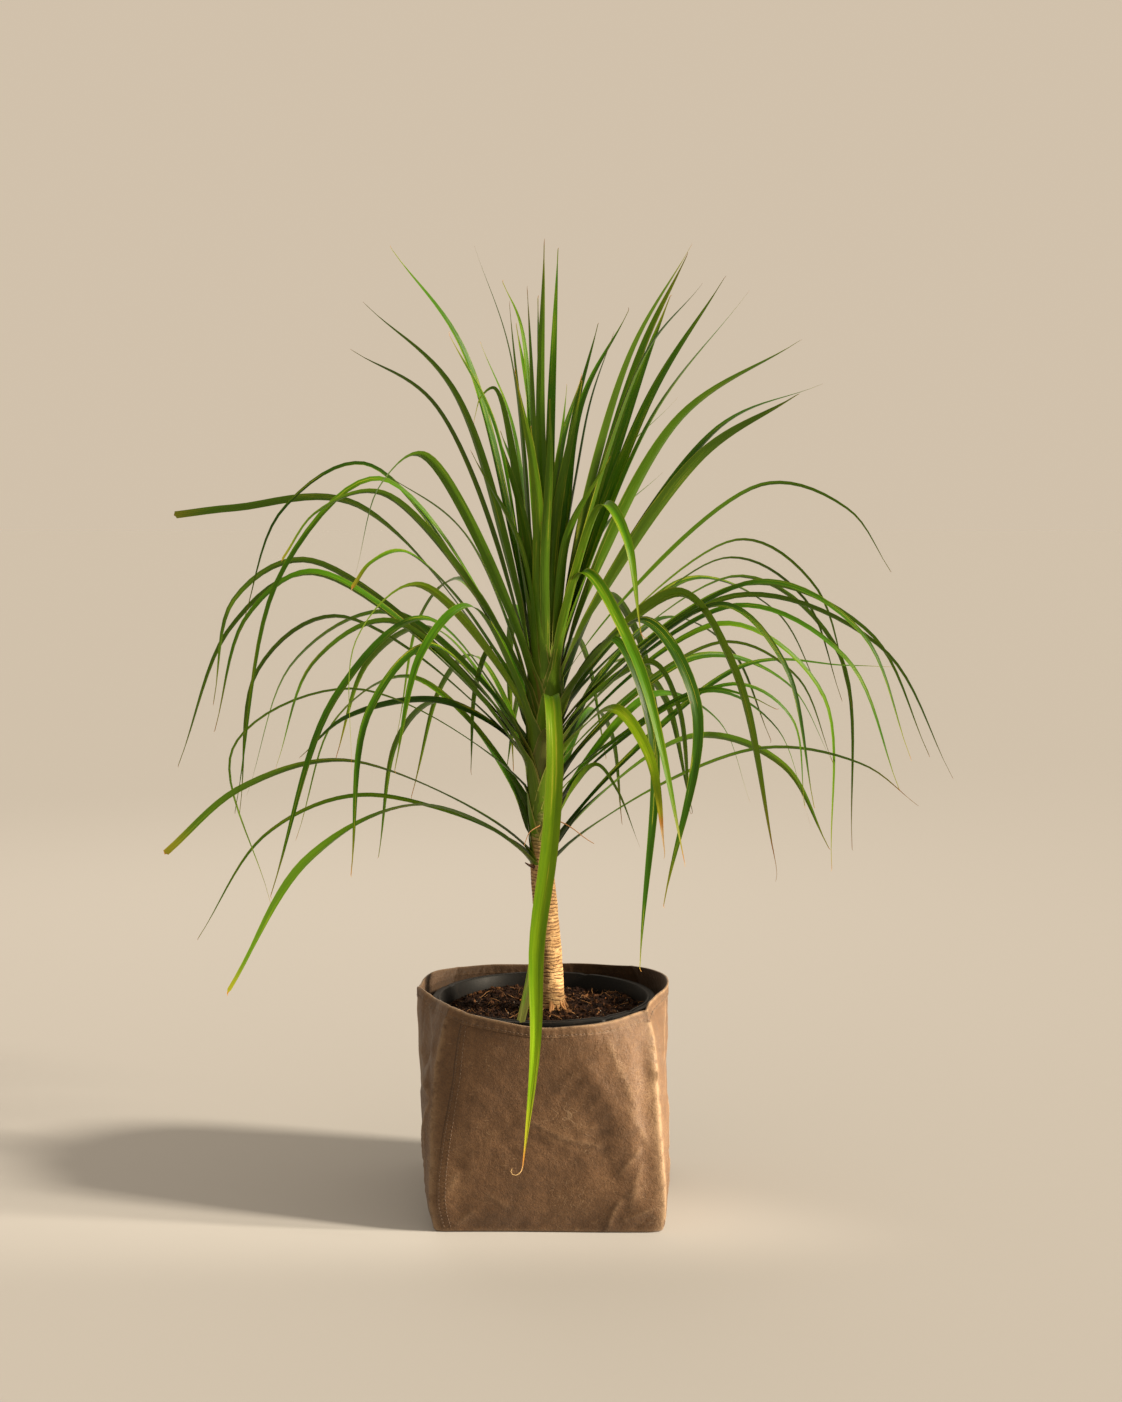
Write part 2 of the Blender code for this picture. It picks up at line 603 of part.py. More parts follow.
def make_pot(collection, cutters):
    """The nursery pot: a thin tapered shell with a flat rim, a skirt and drain holes."""
    floor_top = POT_BASE + POT_FLOOR
    skirt_foot = POT_RIM_HEIGHT - POT_RIM_SKIRT
    under_rim = POT_RIM_HEIGHT - POT_WALL
    outline = (
        (0.0, floor_top),
        (POT_BASE_RADIUS - POT_WALL, floor_top),
        (POT_MOUTH_RADIUS, POT_RIM_HEIGHT),
        (POT_RIM_RADIUS, POT_RIM_HEIGHT),
        (POT_RIM_RADIUS, skirt_foot),
        (POT_RIM_RADIUS - POT_WALL, skirt_foot),
        (POT_RIM_RADIUS - POT_WALL, under_rim),
        (POT_MOUTH_RADIUS + POT_WALL, under_rim),
        (POT_BASE_RADIUS, POT_BASE + POT_FOOT_CHAMFER),
        (POT_BASE_RADIUS - POT_FOOT_CHAMFER, POT_BASE),
        (0.0, POT_BASE),
    )
    pot = turned_object("nursery_pot", outline, ROUND_SIDES, collection)
    for number in range(DRAIN_HOLES):
        cutter = drain_cutter(number, cutters)
        cut = pot.modifiers.new("Drain hole", "BOOLEAN")
        cut.operation = "DIFFERENCE"
        cut.object = cutter
    pot.location.x = POT_X
    for cutter in cutters.objects:
        cutter.location.x = POT_X
    pot.data.set_sharp_from_angle(angle=math.radians(40.0))
    paint(pot, POT_COLOUR, 0.38)
    return pot


def soil_bump(x, y):
    """Height of the soil's gentle lumps, which heap up towards the pot's right side."""
    broad = math.sin(SOIL_BROAD_WAVE * x) * math.cos(SOIL_BROAD_WAVE * y)
    small = math.sin(SOIL_SMALL_WAVE * (x - y))
    heap = x / POT_MOUTH_RADIUS
    return SOIL_BUMP * (broad + small + heap)


def make_soil(collection):
    """The soil: it fills the pot, has a lumpy top, and a plain blind hole for the cane."""
    edge = pot_inner_radius(SOIL_HEIGHT) - CLEARANCE
    foot_height = POT_BASE + POT_FLOOR + CLEARANCE
    foot = pot_inner_radius(foot_height) - CLEARANCE
    hole = CANE_FLARE_RADIUS + CLEARANCE
    hole_foot = SOIL_HEIGHT - ROOT_HOLE_DEPTH
    outline = [(0.0, hole_foot), (cane_radius(hole_foot) + CLEARANCE, hole_foot), (hole, SOIL_HEIGHT)]
    for ring in range(1, SOIL_RINGS + 1):
        outline.append((between((hole, edge), ring / SOIL_RINGS), SOIL_HEIGHT))
    outline += [(foot, foot_height), (0.0, foot_height)]
    soil = turned_object("soil", outline, ROUND_SIDES, collection)
    for vertex in soil.data.vertices:
        radius = math.hypot(vertex.co.x, vertex.co.y)
        inner = 1.0 - min(max((radius - hole) / (edge - hole), 0.0), 1.0)
        if vertex.co.z > hole_foot - CLEARANCE:
            if hole + CLEARANCE < radius < edge - CLEARANCE:
                vertex.co.z += soil_bump(vertex.co.x, vertex.co.y) * min(1.0, 3.0 * (1.0 - inner))
            vertex.co.x += (CANE_FOOT_X - POT_X) * inner
        vertex.co.x += POT_X
    soil.data.shade_smooth()
    paint(soil, SOIL_COLOUR, 0.95)
    return soil


def cane_radius(height):
    """Radius of the bare cane without its rings."""
    below_neck = SHEATH_FOOT - NECK_GAP - height
    if below_neck < NECK_SHOULDER:
        return between((CANE_NECK_RADIUS, CANE_RADIUS), max(below_neck, 0.0) / NECK_SHOULDER)
    if height >= SOIL_HEIGHT:
        rise = min((height - SOIL_HEIGHT) / CANE_FLARE_HEIGHT, 1.0)
        return between((CANE_RADIUS, CANE_FLARE_RADIUS), (1.0 - rise) ** 2)
    depth = (SOIL_HEIGHT - height) / ROOT_HOLE_DEPTH
    return between((CANE_FLARE_RADIUS, CANE_ROOT_RADIUS), min(depth, 1.0))


def neck_heights():
    """Heights, going up, where the cane's hidden neck and its socket in the sheaths both bend."""
    step = (CANE_TOP - SHEATH_FOOT) / NECK_RINGS
    return [SHEATH_FOOT + step * ring for ring in range(1, NECK_RINGS)]


def make_cane(collection):
    """The trunk: a ringed cane, from its root end in the soil to its slim top inside the sheaths."""
    root_end = SOIL_HEIGHT - ROOT_HOLE_DEPTH + CLEARANCE
    outline = [(0.0, CANE_TOP), (CANE_NECK_RADIUS, CANE_TOP)]
    outline += [(CANE_NECK_RADIUS, height) for height in reversed(neck_heights())]
    height = SHEATH_FOOT - NECK_GAP
    outline.append((CANE_NECK_RADIUS, height))
    height -= NECK_SHOULDER
    while height - SCAR_PITCH > SOIL_HEIGHT:
        outline.append((cane_radius(height) + SCAR_RELIEF, height))
        groove = height - SCAR_GROOVE
        outline.append((cane_radius(groove) - SCAR_RELIEF, groove))
        height -= SCAR_PITCH
    outline.append((CANE_FLARE_RADIUS, SOIL_HEIGHT))
    outline += [(cane_radius(root_end), root_end), (0.0, root_end)]
    cane = turned_object("trunk", outline, CANE_SIDES, collection)
    lean_with_cane(cane)
    cane.data.shade_smooth()
    paint(cane, CANE_COLOUR, 0.8)
    return cane


def make_crown(collection, blades):
    """The leaf crown: every blade fused to the column of clasping sheaths that grips the cane."""
    socket = CANE_NECK_RADIUS + CLEARANCE
    outline = list(SHEATH_OUTLINE) + [(socket, SHEATH_FOOT)]
    outline += [(socket, height) for height in neck_heights()]
    outline += [(socket, CANE_TOP + CLEARANCE), (0.0, CANE_TOP + CLEARANCE)]
    crown = turned_object("leaf_crown", outline, CANE_SIDES, collection)
    lean_with_cane(crown)
    for leaf in all_leaves():
        blade_object(leaf, blades)
    join = crown.modifiers.new("Blades", "BOOLEAN")
    join.operation = "UNION"
    join.operand_type = "COLLECTION"
    join.collection = blades
    apply_modifiers(crown)
    keep_largest_body(crown)
    for blade in list(blades.objects):
        bpy.data.objects.remove(blade)
    bpy.data.collections.remove(blades)
    paint(crown, LEAF_COLOUR, 0.45)
    return crown


def main():
    """Clear the scene and build the potted tree."""
    for old in list(bpy.data.objects):
        bpy.data.objects.remove(old)
    tree = bpy.data.collections.new("Potted dragon tree")
    cutters = bpy.data.collections.new("Cutters")
    blades = bpy.data.collections.new("Blades")
    for collection in (tree, cutters, blades):
        bpy.context.scene.collection.children.link(collection)
    make_bag(tree)
    make_pot(tree, cutters)
    make_soil(tree)
    make_cane(tree)
    make_crown(tree, blades)


main()
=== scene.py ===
"""The potted dragon tree, dressed: its cane, leaf crown, soil, nursery pot and waxed-cloth bag.

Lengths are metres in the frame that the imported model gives: +Z is up, +X is to the right, +Y is away from the
viewer, and the origin is the middle of the bag's flat base. Angles run from +X towards +Y.
"""

import logging
import random
from dataclasses import dataclass, field, replace
from enum import Enum
from math import asin, cos, degrees, exp, hypot, pi, radians, sin, sqrt

import bmesh
import bpy
import numpy as np
from mathutils import Matrix, Vector, noise


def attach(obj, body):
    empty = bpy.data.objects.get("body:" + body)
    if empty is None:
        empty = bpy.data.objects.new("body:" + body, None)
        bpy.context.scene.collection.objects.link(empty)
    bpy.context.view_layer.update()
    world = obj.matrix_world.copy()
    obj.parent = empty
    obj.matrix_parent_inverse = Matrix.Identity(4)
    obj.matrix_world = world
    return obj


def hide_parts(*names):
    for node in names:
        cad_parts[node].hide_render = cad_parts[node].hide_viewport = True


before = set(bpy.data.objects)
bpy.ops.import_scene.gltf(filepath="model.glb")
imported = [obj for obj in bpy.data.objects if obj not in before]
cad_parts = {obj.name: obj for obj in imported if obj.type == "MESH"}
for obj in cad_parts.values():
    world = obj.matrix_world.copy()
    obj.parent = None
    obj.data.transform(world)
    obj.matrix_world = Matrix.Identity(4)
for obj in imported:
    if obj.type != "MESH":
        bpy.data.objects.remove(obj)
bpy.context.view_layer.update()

LOG = logging.getLogger("potted_dragon_tree")
BODY = "root"
FULL_TURN = 2.0 * pi

Pair = tuple[float, float]
Triple = tuple[float, float, float]
Colour = Triple
Array = np.ndarray
Piece = bpy.types.Object
Material = bpy.types.Material
Socket = bpy.types.NodeSocket
Inputs = dict[str | int, object]
Stations = dict[str, Array]


def eased(value: Array | float) -> Array | float:
    """A smooth step from 0 to 1."""
    held = np.clip(value, 0.0, 1.0)
    return held * held * (3.0 - 2.0 * held)


def between(limits: Pair, share: Array | float) -> Array | float:
    """The value at a share of the way from the first limit to the second."""
    return limits[0] + (limits[1] - limits[0]) * share


def angle_from(angle: Array, middle: float) -> Array:
    """How far each angle lies from the middle one, from minus half a turn to half a turn."""
    return (angle - middle + pi) % FULL_TURN - pi


def ripples(angle: Array, height: Array, seed: int, waves: int, turns: int, pitch: Pair) -> Array:
    """A seamless uneven field round a closed surface: seeded sine waves added up.

    Args:
        angle: Angles round the surface.
        height: Heights, in a shape that goes with the angles.
        seed: Seed of the waves.
        waves: How many waves are added.
        turns: The most crests that a wave has round the surface.
        pitch: Shortest and longest wave up the surface, in metres.

    Returns:
        The field, mostly between -2 and 2.
    """
    draw = random.Random(seed)
    total = np.zeros(np.broadcast(angle, height).shape)
    for _ in range(waves):
        around = draw.randint(-turns, turns)
        upward = FULL_TURN / draw.uniform(*pitch)
        total += np.sin(around * angle + upward * height + draw.uniform(0.0, FULL_TURN))
    return total / sqrt(waves / 2.0)


def link(name: str, mesh: bpy.types.Mesh) -> Piece:
    """Put a mesh in the scene as an object at the origin."""
    piece = bpy.data.objects.new(name, mesh)
    bpy.context.scene.collection.objects.link(piece)
    return piece


def store_values(mesh: bpy.types.Mesh, values: Stations) -> None:
    """Keep one number for each vertex under each name."""
    for name, numbers in values.items():
        stored = mesh.attributes.new(name, "FLOAT", "POINT")
        stored.data.foreach_set("value", np.asarray(numbers, np.float32).ravel())


def settle(name: str, build: bmesh.types.BMesh) -> Piece:
    """Turn a finished bmesh into an object in the scene, and free it.

    Args:
        name: Name of the object.
        build: The bmesh.

    Returns:
        The object.
    """
    mesh = bpy.data.meshes.new(name)
    build.to_mesh(mesh)
    build.free()
    return link(name, mesh)


def evaluated(piece: Piece) -> bpy.types.Mesh:
    """The piece's mesh with its modifiers done, as a plain mesh."""
    return bpy.data.meshes.new_from_object(piece.evaluated_get(bpy.context.evaluated_depsgraph_get()))


def once_round(count: int) -> Array:
    """Angles once round, in a row."""
    return np.linspace(0.0, FULL_TURN, count, endpoint=False)[None, :]


def smooth(piece: Piece, edge: float = 50.0) -> None:
    """Shade the piece smooth, and keep the edges that turn more than so many degrees."""
    piece.data.shade_smooth()
    piece.data.set_sharp_from_angle(angle=radians(edge))


def ring_mesh(
    name: str,
    rows: Array,
    loop: bool = False,
    values: Stations | None = None,
    around: float = 1.0,
) -> Piece:
    """A closed surface through rings of points.

    Args:
        name: Name of the object.
        rows: Points as (ring, point in the ring, 3), anticlockwise from above where the surface climbs.
        loop: Join the last ring to the first, instead of closing both ends at a pole.
        values: Numbers for each vertex of the rings, kept as named attributes.
        around: What the UV map's U runs to once round, in metres. V is the distance along the first column.

    Returns:
        The object.
    """
    count, sides = rows.shape[:2]
    points = rows.reshape(-1, 3)
    index = np.arange(count * sides).reshape(count, sides)
    upper = np.roll(index, -1, axis=0)
    used = count if loop else count - 1
    lower, upper = index[:used], upper[:used]
    quads = np.stack((lower, np.roll(lower, -1, 1), np.roll(upper, -1, 1), upper), axis=-1).reshape(-1, 4)
    faces = quads.tolist()
    if not loop:
        poles = np.stack((rows[0].mean(axis=0), rows[-1].mean(axis=0)))
        points = np.concatenate((points, poles))
        first, last = count * sides, count * sides + 1
        faces += [(first, int(after), int(at)) for at, after in zip(index[0], np.roll(index[0], -1))]
        faces += [(int(at), int(after), last) for at, after in zip(index[-1], np.roll(index[-1], -1))]
    mesh = bpy.data.meshes.new(name)
    mesh.from_pydata(points.tolist(), [], faces)
    run = np.linalg.norm(np.diff(rows[:, 0], axis=0, append=rows[:1, 0]), axis=1)
    along = np.concatenate(([0.0], np.cumsum(run)))
    across = np.linspace(0.0, around, sides + 1)
    left, right = np.meshgrid(across[:-1], along[:used]), np.meshgrid(across[1:], along[1:used + 1])
    corners = (left[0], left[1]), (right[0], left[1]), (right[0], right[1]), (left[0], right[1])
    flat = np.stack([np.stack(corner, axis=-1) for corner in corners], axis=2).reshape(-1, 2)
    mapped = np.zeros((len(mesh.loops), 2), np.float32)
    mapped[:len(flat)] = flat
    mesh.uv_layers.new(name="UVMap").uv.foreach_set("vector", mapped.ravel())
    for label, numbers in (values or {}).items():
        ends = [] if loop else [numbers[0].mean(), numbers[-1].mean()]
        store_values(mesh, {label: np.concatenate((numbers.ravel(), ends))})
    piece = link(name, mesh)
    smooth(piece)
    return piece


def line_mesh(name: str, lines: list[Stations]) -> Piece:
    """An object of plain edges along each line, which keeps what each of the line's points needs.

    Args:
        name: Name of the object.
        lines: For each line, arrays by name with one row for each point: position, half and any others.

    Returns:
        The object.
    """
    edges, start = [], 0
    for rows in lines:
        count = len(rows["half"])
        edges += [(start + step, start + step + 1) for step in range(count - 1)]
        start += count
    joined = {label: np.concatenate([rows[label] for rows in lines]) for label in lines[0]}
    mesh = bpy.data.meshes.new(name)
    mesh.from_pydata(joined.pop("position").tolist(), edges, [])
    facing = joined.pop("facing", None)
    if facing is not None:
        stored = mesh.attributes.new("facing", "FLOAT_VECTOR", "POINT")
        stored.data.foreach_set("vector", facing.astype(np.float32).ravel())
    store_values(mesh, joined)
    return link(name + "_lines", mesh)


class Wire:
    """What a node gives. Arithmetic on it adds the nodes that do it to the same sheet."""

    def __init__(self, sheet: "NodeSheet", socket: Socket) -> None:
        """Take up an output of one of the sheet's nodes."""
        self.sheet, self.socket = sheet, socket

    def __add__(self, other: object) -> "Wire":
        """The sum."""
        return self.sheet.sum("ADD", self, other)

    def __sub__(self, other: object) -> "Wire":
        """The difference."""
        return self.sheet.sum("SUBTRACT", self, other)

    def __mul__(self, other: object) -> "Wire":
        """The product."""
        return self.sheet.sum("MULTIPLY", self, other)

    def __abs__(self) -> "Wire":
        """The value without its sign."""
        return self.sheet.sum("ABSOLUTE", self)


class NodeSheet:
    """A node tree that is being laid out."""

    def __init__(self, tree: bpy.types.NodeTree) -> None:
        """Take up the tree that the nodes go in."""
        self.tree = tree

    def feed(self, socket: Socket, value: object) -> None:
        """Link what a node gives to an input, or set the input's own value.

        Args:
            socket: The input.
            value: A wire, a socket or a node to link, or else a plain value.
        """
        if isinstance(value, bpy.types.Node):
            value = next(output for output in value.outputs if output.enabled)
        if isinstance(value, Wire):
            value = value.socket
        if isinstance(value, Socket):
            self.tree.links.new(value, socket)
        else:
            socket.default_value = value

    def add(self, kind: str, inputs: Inputs | None = None, **settings: object) -> bpy.types.Node:
        """Add a node.

        Args:
            kind: Blender's name for the node's type.
            inputs: What its inputs take, by name or place.
            **settings: Its own settings.

        Returns:
            The node.
        """
        node = self.tree.nodes.new(kind)
        for name, value in settings.items():
            setattr(node, name, value)
        for place, value in (inputs or {}).items():
            self.feed(node.inputs[place], value)
        return node

    def get(self, kind: str, inputs: Inputs | None = None, output: str | int = 0, **settings: object) -> Wire:
        """Add a node and take one of its outputs."""
        return Wire(self, self.add(kind, inputs, **settings).outputs[output])

    def sum(self, operation: str, first: object, second: object = 0.0) -> Wire:
        """One step of arithmetic, by Blender's name for the operation."""
        return self.get("ShaderNodeMath", {0: first, 1: second}, operation=operation)

    def span(self, value: object, low: float, high: float) -> Wire:
        """0 where the value is at or below low, 1 at or above high, and smooth between."""
        inputs = {"Value": value, "From Min": low, "From Max": high}
        return self.get("ShaderNodeMapRange", inputs, interpolation_type="SMOOTHSTEP")

    def longer(self, vector: object, times: object) -> Wire:
        """A vector made so many times as long."""
        return self.get("ShaderNodeVectorMath", {0: vector, "Scale": times}, operation="SCALE")


class FinishSheet(NodeSheet):
    """The nodes of one material: a colour that others are laid over, a relief, and one Principled shader."""

    def __init__(self, name: str, specular: float = 0.5, sheen: float = 0.0) -> None:
        """Start the material.

        Args:
            name: Name of the material.
            specular: How strongly it shines.
            sheen: How much fuzz it has.
        """
        self.material = bpy.data.materials.new(name)
        self.material.use_nodes = True
        super().__init__(self.material.node_tree)
        self.shader = self.tree.nodes["Principled BSDF"]
        self.shader.inputs["Specular IOR Level"].default_value = specular
        self.shader.inputs["Sheen Weight"].default_value = sheen
        self.colour: object = None
        self.relief: Wire | None = None

    def place(self) -> Wire:
        """Where the surface is, in the shared frame."""
        return self.get("ShaderNodeTexCoord", output="Object")

    def cloth_place(self) -> Wire:
        """The surface's own UV map."""
        return self.get("ShaderNodeTexCoord", output="UV")

    def value(self, name: str) -> Wire:
        """A number that the mesh keeps for each vertex."""
        return self.get("ShaderNodeAttribute", output="Fac", attribute_name=name)

    def scaled(self, where: object, scale: Triple, turn: float = 0.0) -> Wire:
        """A place turned about Z by so many radians and then scaled along each axis."""
        turned = self.add("ShaderNodeVectorRotate", {"Vector": where, "Angle": turn}, rotation_type="Z_AXIS")
        return self.get("ShaderNodeVectorMath", {0: turned, 1: scale}, operation="MULTIPLY")

    def noise(self, where: object, scale: float, detail: float = 3.0, rough: float = 0.55) -> Wire:
        """Soft noise around one half."""
        inputs = {"Vector": where, "Scale": scale, "Detail": detail, "Roughness": rough}
        return self.get("ShaderNodeTexNoise", inputs)

    def ramp(self, value: object, *stops: tuple[float, Colour]) -> None:
        """Start the colour with a scale of colours.

        Args:
            value: How far along the scale the surface is.
            *stops: Places on the scale, each with its colour.
        """
        node = self.add("ShaderNodeValToRGB", {0: value})
        scale = node.color_ramp.elements
        while len(scale) < len(stops):
            scale.new(0.5)
        for element, (position, colour) in zip(scale, stops):
            element.position = position
            element.color = self.full(colour)
        self.colour = node

    def lay(self, share: object, colour: Colour) -> None:
        """Lay a colour over the present one, as thickly as the share says."""
        inputs = {0: share, 6: self.full(self.colour), 7: self.full(colour)}
        self.colour = self.get("ShaderNodeMix", inputs, 2, data_type="RGBA")

    @staticmethod
    def full(value: object) -> object:
        """A colour with its alpha, if it has three numbers."""
        return (*value, 1.0) if isinstance(value, tuple) and len(value) == 3 else value

    def press(self, height: object, depth: float) -> None:
        """Lay a relief of that depth in metres over the present one."""
        old = {"Normal": self.relief} if self.relief else {}
        self.relief = self.get("ShaderNodeBump", {"Height": height, "Distance": depth, "Strength": 1.0} | old)

    def finish(self, roughness: object) -> Material:
        """Join the colour, the relief and the roughness to the shader.

        Args:
            roughness: The roughness, or the wire that carries it.

        Returns:
            The material.
        """
        self.feed(self.shader.inputs["Base Color"], self.full(self.colour))
        self.feed(self.shader.inputs["Roughness"], roughness)
        if self.relief:
            self.feed(self.shader.inputs["Normal"], self.relief)
        return self.material


@dataclass(frozen=True)
class WaxedCloth:
    """Brown waxed canvas: a fine twill, blotched by the wax, with pale scuffs, scratches and worn creases."""

    deep: Colour = (0.046, 0.021, 0.006)
    body: Colour = (0.114, 0.054, 0.019)
    pale: Colour = (0.21, 0.115, 0.051)
    scuff: Colour = (0.4, 0.27, 0.155)
    twill_pitch: float = 0.0012
    twill_slant: float = radians(62.0)
    seam_line: Pair = (0.0075, 0.0025)
    scratches: tuple[Triple, ...] = ((0.35, 640.0, 70.0), (-0.95, 760.0, 95.0), (1.45, 900.0, 120.0))
    cracks: tuple[Pair, ...] = ((24.0, 0.0045), (46.0, 0.006))

    def material(self) -> Material:
        """Build the finish.

        Returns:
            The material.
        """
        sheet = FinishSheet("waxed_canvas", specular=0.35, sheen=0.1)
        cloth, place = sheet.cloth_place(), sheet.place()
        blotch = sheet.noise(place, 15.0, 5.0, 0.6)
        mottle = sheet.noise(place, 95.0, 6.0, 0.72)
        grain = sheet.noise(place, 620.0, 3.0, 0.65)
        sheet.ramp(blotch * 0.5 + mottle * 0.5, (0.24, self.deep), (0.51, self.body), (0.83, self.pale))
        sheet.lay(sheet.span(grain, 0.42, 0.66) * 0.42, self.deep)
        self.scratch(sheet, cloth, place)
        crackle = self.crackle(sheet, place)
        worn = sheet.value("worn") * sheet.span(mottle, 0.28, 0.56)
        sheet.lay(worn * 0.52, self.scuff)
        slanted = sheet.scaled(cloth, (1.0 / self.twill_pitch,) * 2 + (0.0,), self.twill_slant)
        twill = {"Vector": slanted, "Scale": 0.32, "Distortion": 0.8, "Detail": 2.0}
        rib = sheet.get("ShaderNodeTexWave", twill, "Fac")
        yarn = sheet.noise(sheet.scaled(cloth, (900.0, 2600.0, 1.0)), 1.0, 2.0)
        weave = rib + yarn * 0.9
        sheet.lay(sheet.span(weave, 0.3, 1.5) * 0.24, self.deep)
        sheet.lay(sheet.span(abs(sheet.value("seam")), *self.seam_line) * 0.75, self.deep)
        # Painted shade: the bag's inner face and the hem's inner layer are laid over with the deep brown.
        sheet.lay(sheet.value("inside") * 0.72, self.deep)
        sheet.press(blotch, 0.0016)
        sheet.press(mottle, 0.0015)
        sheet.press(crackle, 0.00012)
        sheet.press(weave + grain, 0.00018)
        return sheet.finish(mottle * 0.3 + 0.42)

    def crackle(self, sheet: FinishSheet, place: Wire) -> Wire:
        """Lay on thin pale arcs where the wax has cracked, gathered in places.

        Args:
            sheet: The nodes.
            place: Where the surface is.

        Returns:
            The height of the arcs.
        """
        total = None
        for number, (scale, thin) in enumerate(self.cracks):
            wave = sheet.noise(sheet.scaled(place, (scale, scale, 1.3 * scale), 0.4 + number), 1.0, 2.5, 0.5)
            near = abs(wave - 0.5)
            where = sheet.noise(place, 13.0 + 8.0 * number, 3.0)
            arc = sheet.span(near, thin, 0.2 * thin) * sheet.span(where, 0.54, 0.7)
            sheet.lay(arc * 0.26, self.scuff)
            total = total + arc if total else arc
        return total

    def scratch(self, sheet: FinishSheet, cloth: Wire, place: Wire) -> None:
        """Lay on short pale scratches in a few directions, gathered in places.

        Args:
            sheet: The nodes.
            cloth: The cloth's UV map.
            place: Where the surface is.
        """
        for number, (turn, across, along) in enumerate(self.scratches):
            drawn = sheet.noise(sheet.scaled(cloth, (across, along, 1.0), turn), 1.0, 2.0)
            where = sheet.noise(place, 22.0 + 9.0 * number, 3.0)
            sheet.lay(sheet.span(drawn, 0.62, 0.7) * sheet.span(where, 0.5, 0.64) * 0.3, self.scuff)


@dataclass(frozen=True)
class SatinPlastic:
    """Black moulded plastic with a satin skin and a little soil dust."""

    body: Colour = (0.006, 0.006, 0.006)
    dust: Colour = (0.06, 0.04, 0.027)

    def material(self) -> Material:
        """Build the finish.

        Returns:
            The material.
        """
        sheet = FinishSheet("black_satin_plastic", specular=0.1)
        place = sheet.place()
        film = sheet.noise(place, 38.0, 5.0, 0.7)
        specks = sheet.span(sheet.noise(place, 520.0, 2.0), 0.66, 0.72)
        sheet.colour = self.body
        sheet.lay(sheet.span(film, 0.46, 0.8) * 0.16, self.dust)
        sheet.lay(specks * 0.35, self.dust)
        sheet.press(sheet.noise(place, 1400.0, 2.0), 0.00008)
        return sheet.finish(film * 0.26 + 0.34)


@dataclass(frozen=True)
class PottingSoil:
    """Dark crumbs: each crumb keeps a tone of its own from nearly black to tan."""

    wet: Colour = (0.008, 0.004, 0.003)
    earth: Colour = (0.032, 0.014, 0.008)
    dry: Colour = (0.15, 0.066, 0.028)

    def material(self) -> Material:
        """Build the finish.

        Returns:
            The material.
        """
        sheet = FinishSheet("potting_soil", specular=0.12)
        place = sheet.place()
        clump = sheet.noise(place, 75.0, 4.0)
        fine = sheet.noise(place, 900.0, 3.0, 0.7)
        mixed = sheet.value("tone") * 0.55 + clump * 0.5 + (fine - 0.5) * 0.5
        sheet.ramp(mixed, (0.34, self.wet), (0.68, self.earth), (0.96, self.dry))
        sheet.press(fine, 0.0006)
        return sheet.finish(0.93)


@dataclass(frozen=True)
class PlantFibre:
    """Tan bits of bark, fibre and root, with streaks along their grain."""

    name: str = "tan_fibre"
    dark: Colour = (0.05, 0.022, 0.01)
    light: Colour = (0.43, 0.22, 0.09)

    def material(self) -> Material:
        """Build the finish.

        Returns:
            The material.
        """
        sheet = FinishSheet(self.name, specular=0.2)
        streak = sheet.noise(sheet.place(), 650.0, 3.0, 0.65)
        sheet.ramp(sheet.value("tone") * 0.7 + streak * 0.35, (0.15, self.dark), (0.85, self.light))
        sheet.press(streak, 0.0004)
        return sheet.finish(0.85)


@dataclass(frozen=True)
class Speck:
    """Plain little grains: pale mineral or orange slow-release feed."""

    name: str
    body: Colour

    def material(self) -> Material:
        """Build the finish.

        Returns:
            The material.
        """
        sheet = FinishSheet(self.name)
        fine = sheet.noise(sheet.place(), 1800.0, 2.0)
        sheet.colour = self.body
        sheet.lay(fine * 0.5, tuple(0.45 * part for part in self.body))
        sheet.press(fine, 0.0002)
        return sheet.finish(0.6)


@dataclass(frozen=True)
class CaneBark:
    """Golden tan bark: thin uneven rings of old leaf scars, dark flecks between them and fine fibres."""

    crack: Colour = (0.095, 0.042, 0.016)
    body: Colour = (0.372, 0.21, 0.082)
    ridge: Colour = (0.64, 0.428, 0.206)
    green: Colour = (0.12, 0.17, 0.02)
    rings: tuple[Triple, ...] = ((0.0036, 0.34, 0.8), (0.0019, 0.22, 0.45))
    ring_drift: float = 0.0055
    relief: float = 0.0005

    def material(self) -> Material:
        """Build the finish.

        Returns:
            The material.
        """
        sheet = FinishSheet("ringed_bark", specular=0.3)
        place = sheet.place()
        fibre = sheet.noise(sheet.scaled(place, (1500.0, 1500.0, 170.0)), 1.0, 3.0, 0.6)
        patch = sheet.noise(sheet.scaled(place, (70.0, 70.0, 110.0)), 1.0, 4.0, 0.6)
        fleck = sheet.noise(sheet.scaled(place, (230.0, 230.0, 620.0)), 1.0, 2.0)
        tone = fibre * 0.45 + patch * 0.7 + sheet.value("scar") * 0.2
        sheet.ramp(tone, (0.42, self.crack), (0.66, self.body), (0.98, self.ridge))
        level = sheet.get("ShaderNodeSeparateXYZ", {0: place}, 2)
        sheet.press(fibre, self.relief)
        for pitch, thin, strength in self.rings:
            drift = sheet.noise(sheet.scaled(place, (90.0, 90.0, 28.0)), 1.0, 2.0)
            turn = sheet.sum("DIVIDE", level, pitch) + drift * (self.ring_drift / pitch)
            near = sheet.sum("PINGPONG", turn, 0.5)
            faded = sheet.span(sheet.noise(sheet.scaled(place, (130.0, 130.0, 330.0)), 1.0, 2.0), 0.34, 0.56)
            line = sheet.span(near, thin, 0.02) * faded
            sheet.lay(line * strength, self.crack)
            sheet.press(line * -1.0, self.relief * strength)
        sheet.lay(sheet.span(fleck, 0.66, 0.74) * 0.55, self.crack)
        sheet.lay(sheet.value("young") * 0.85, self.green)
        return sheet.finish(0.72)


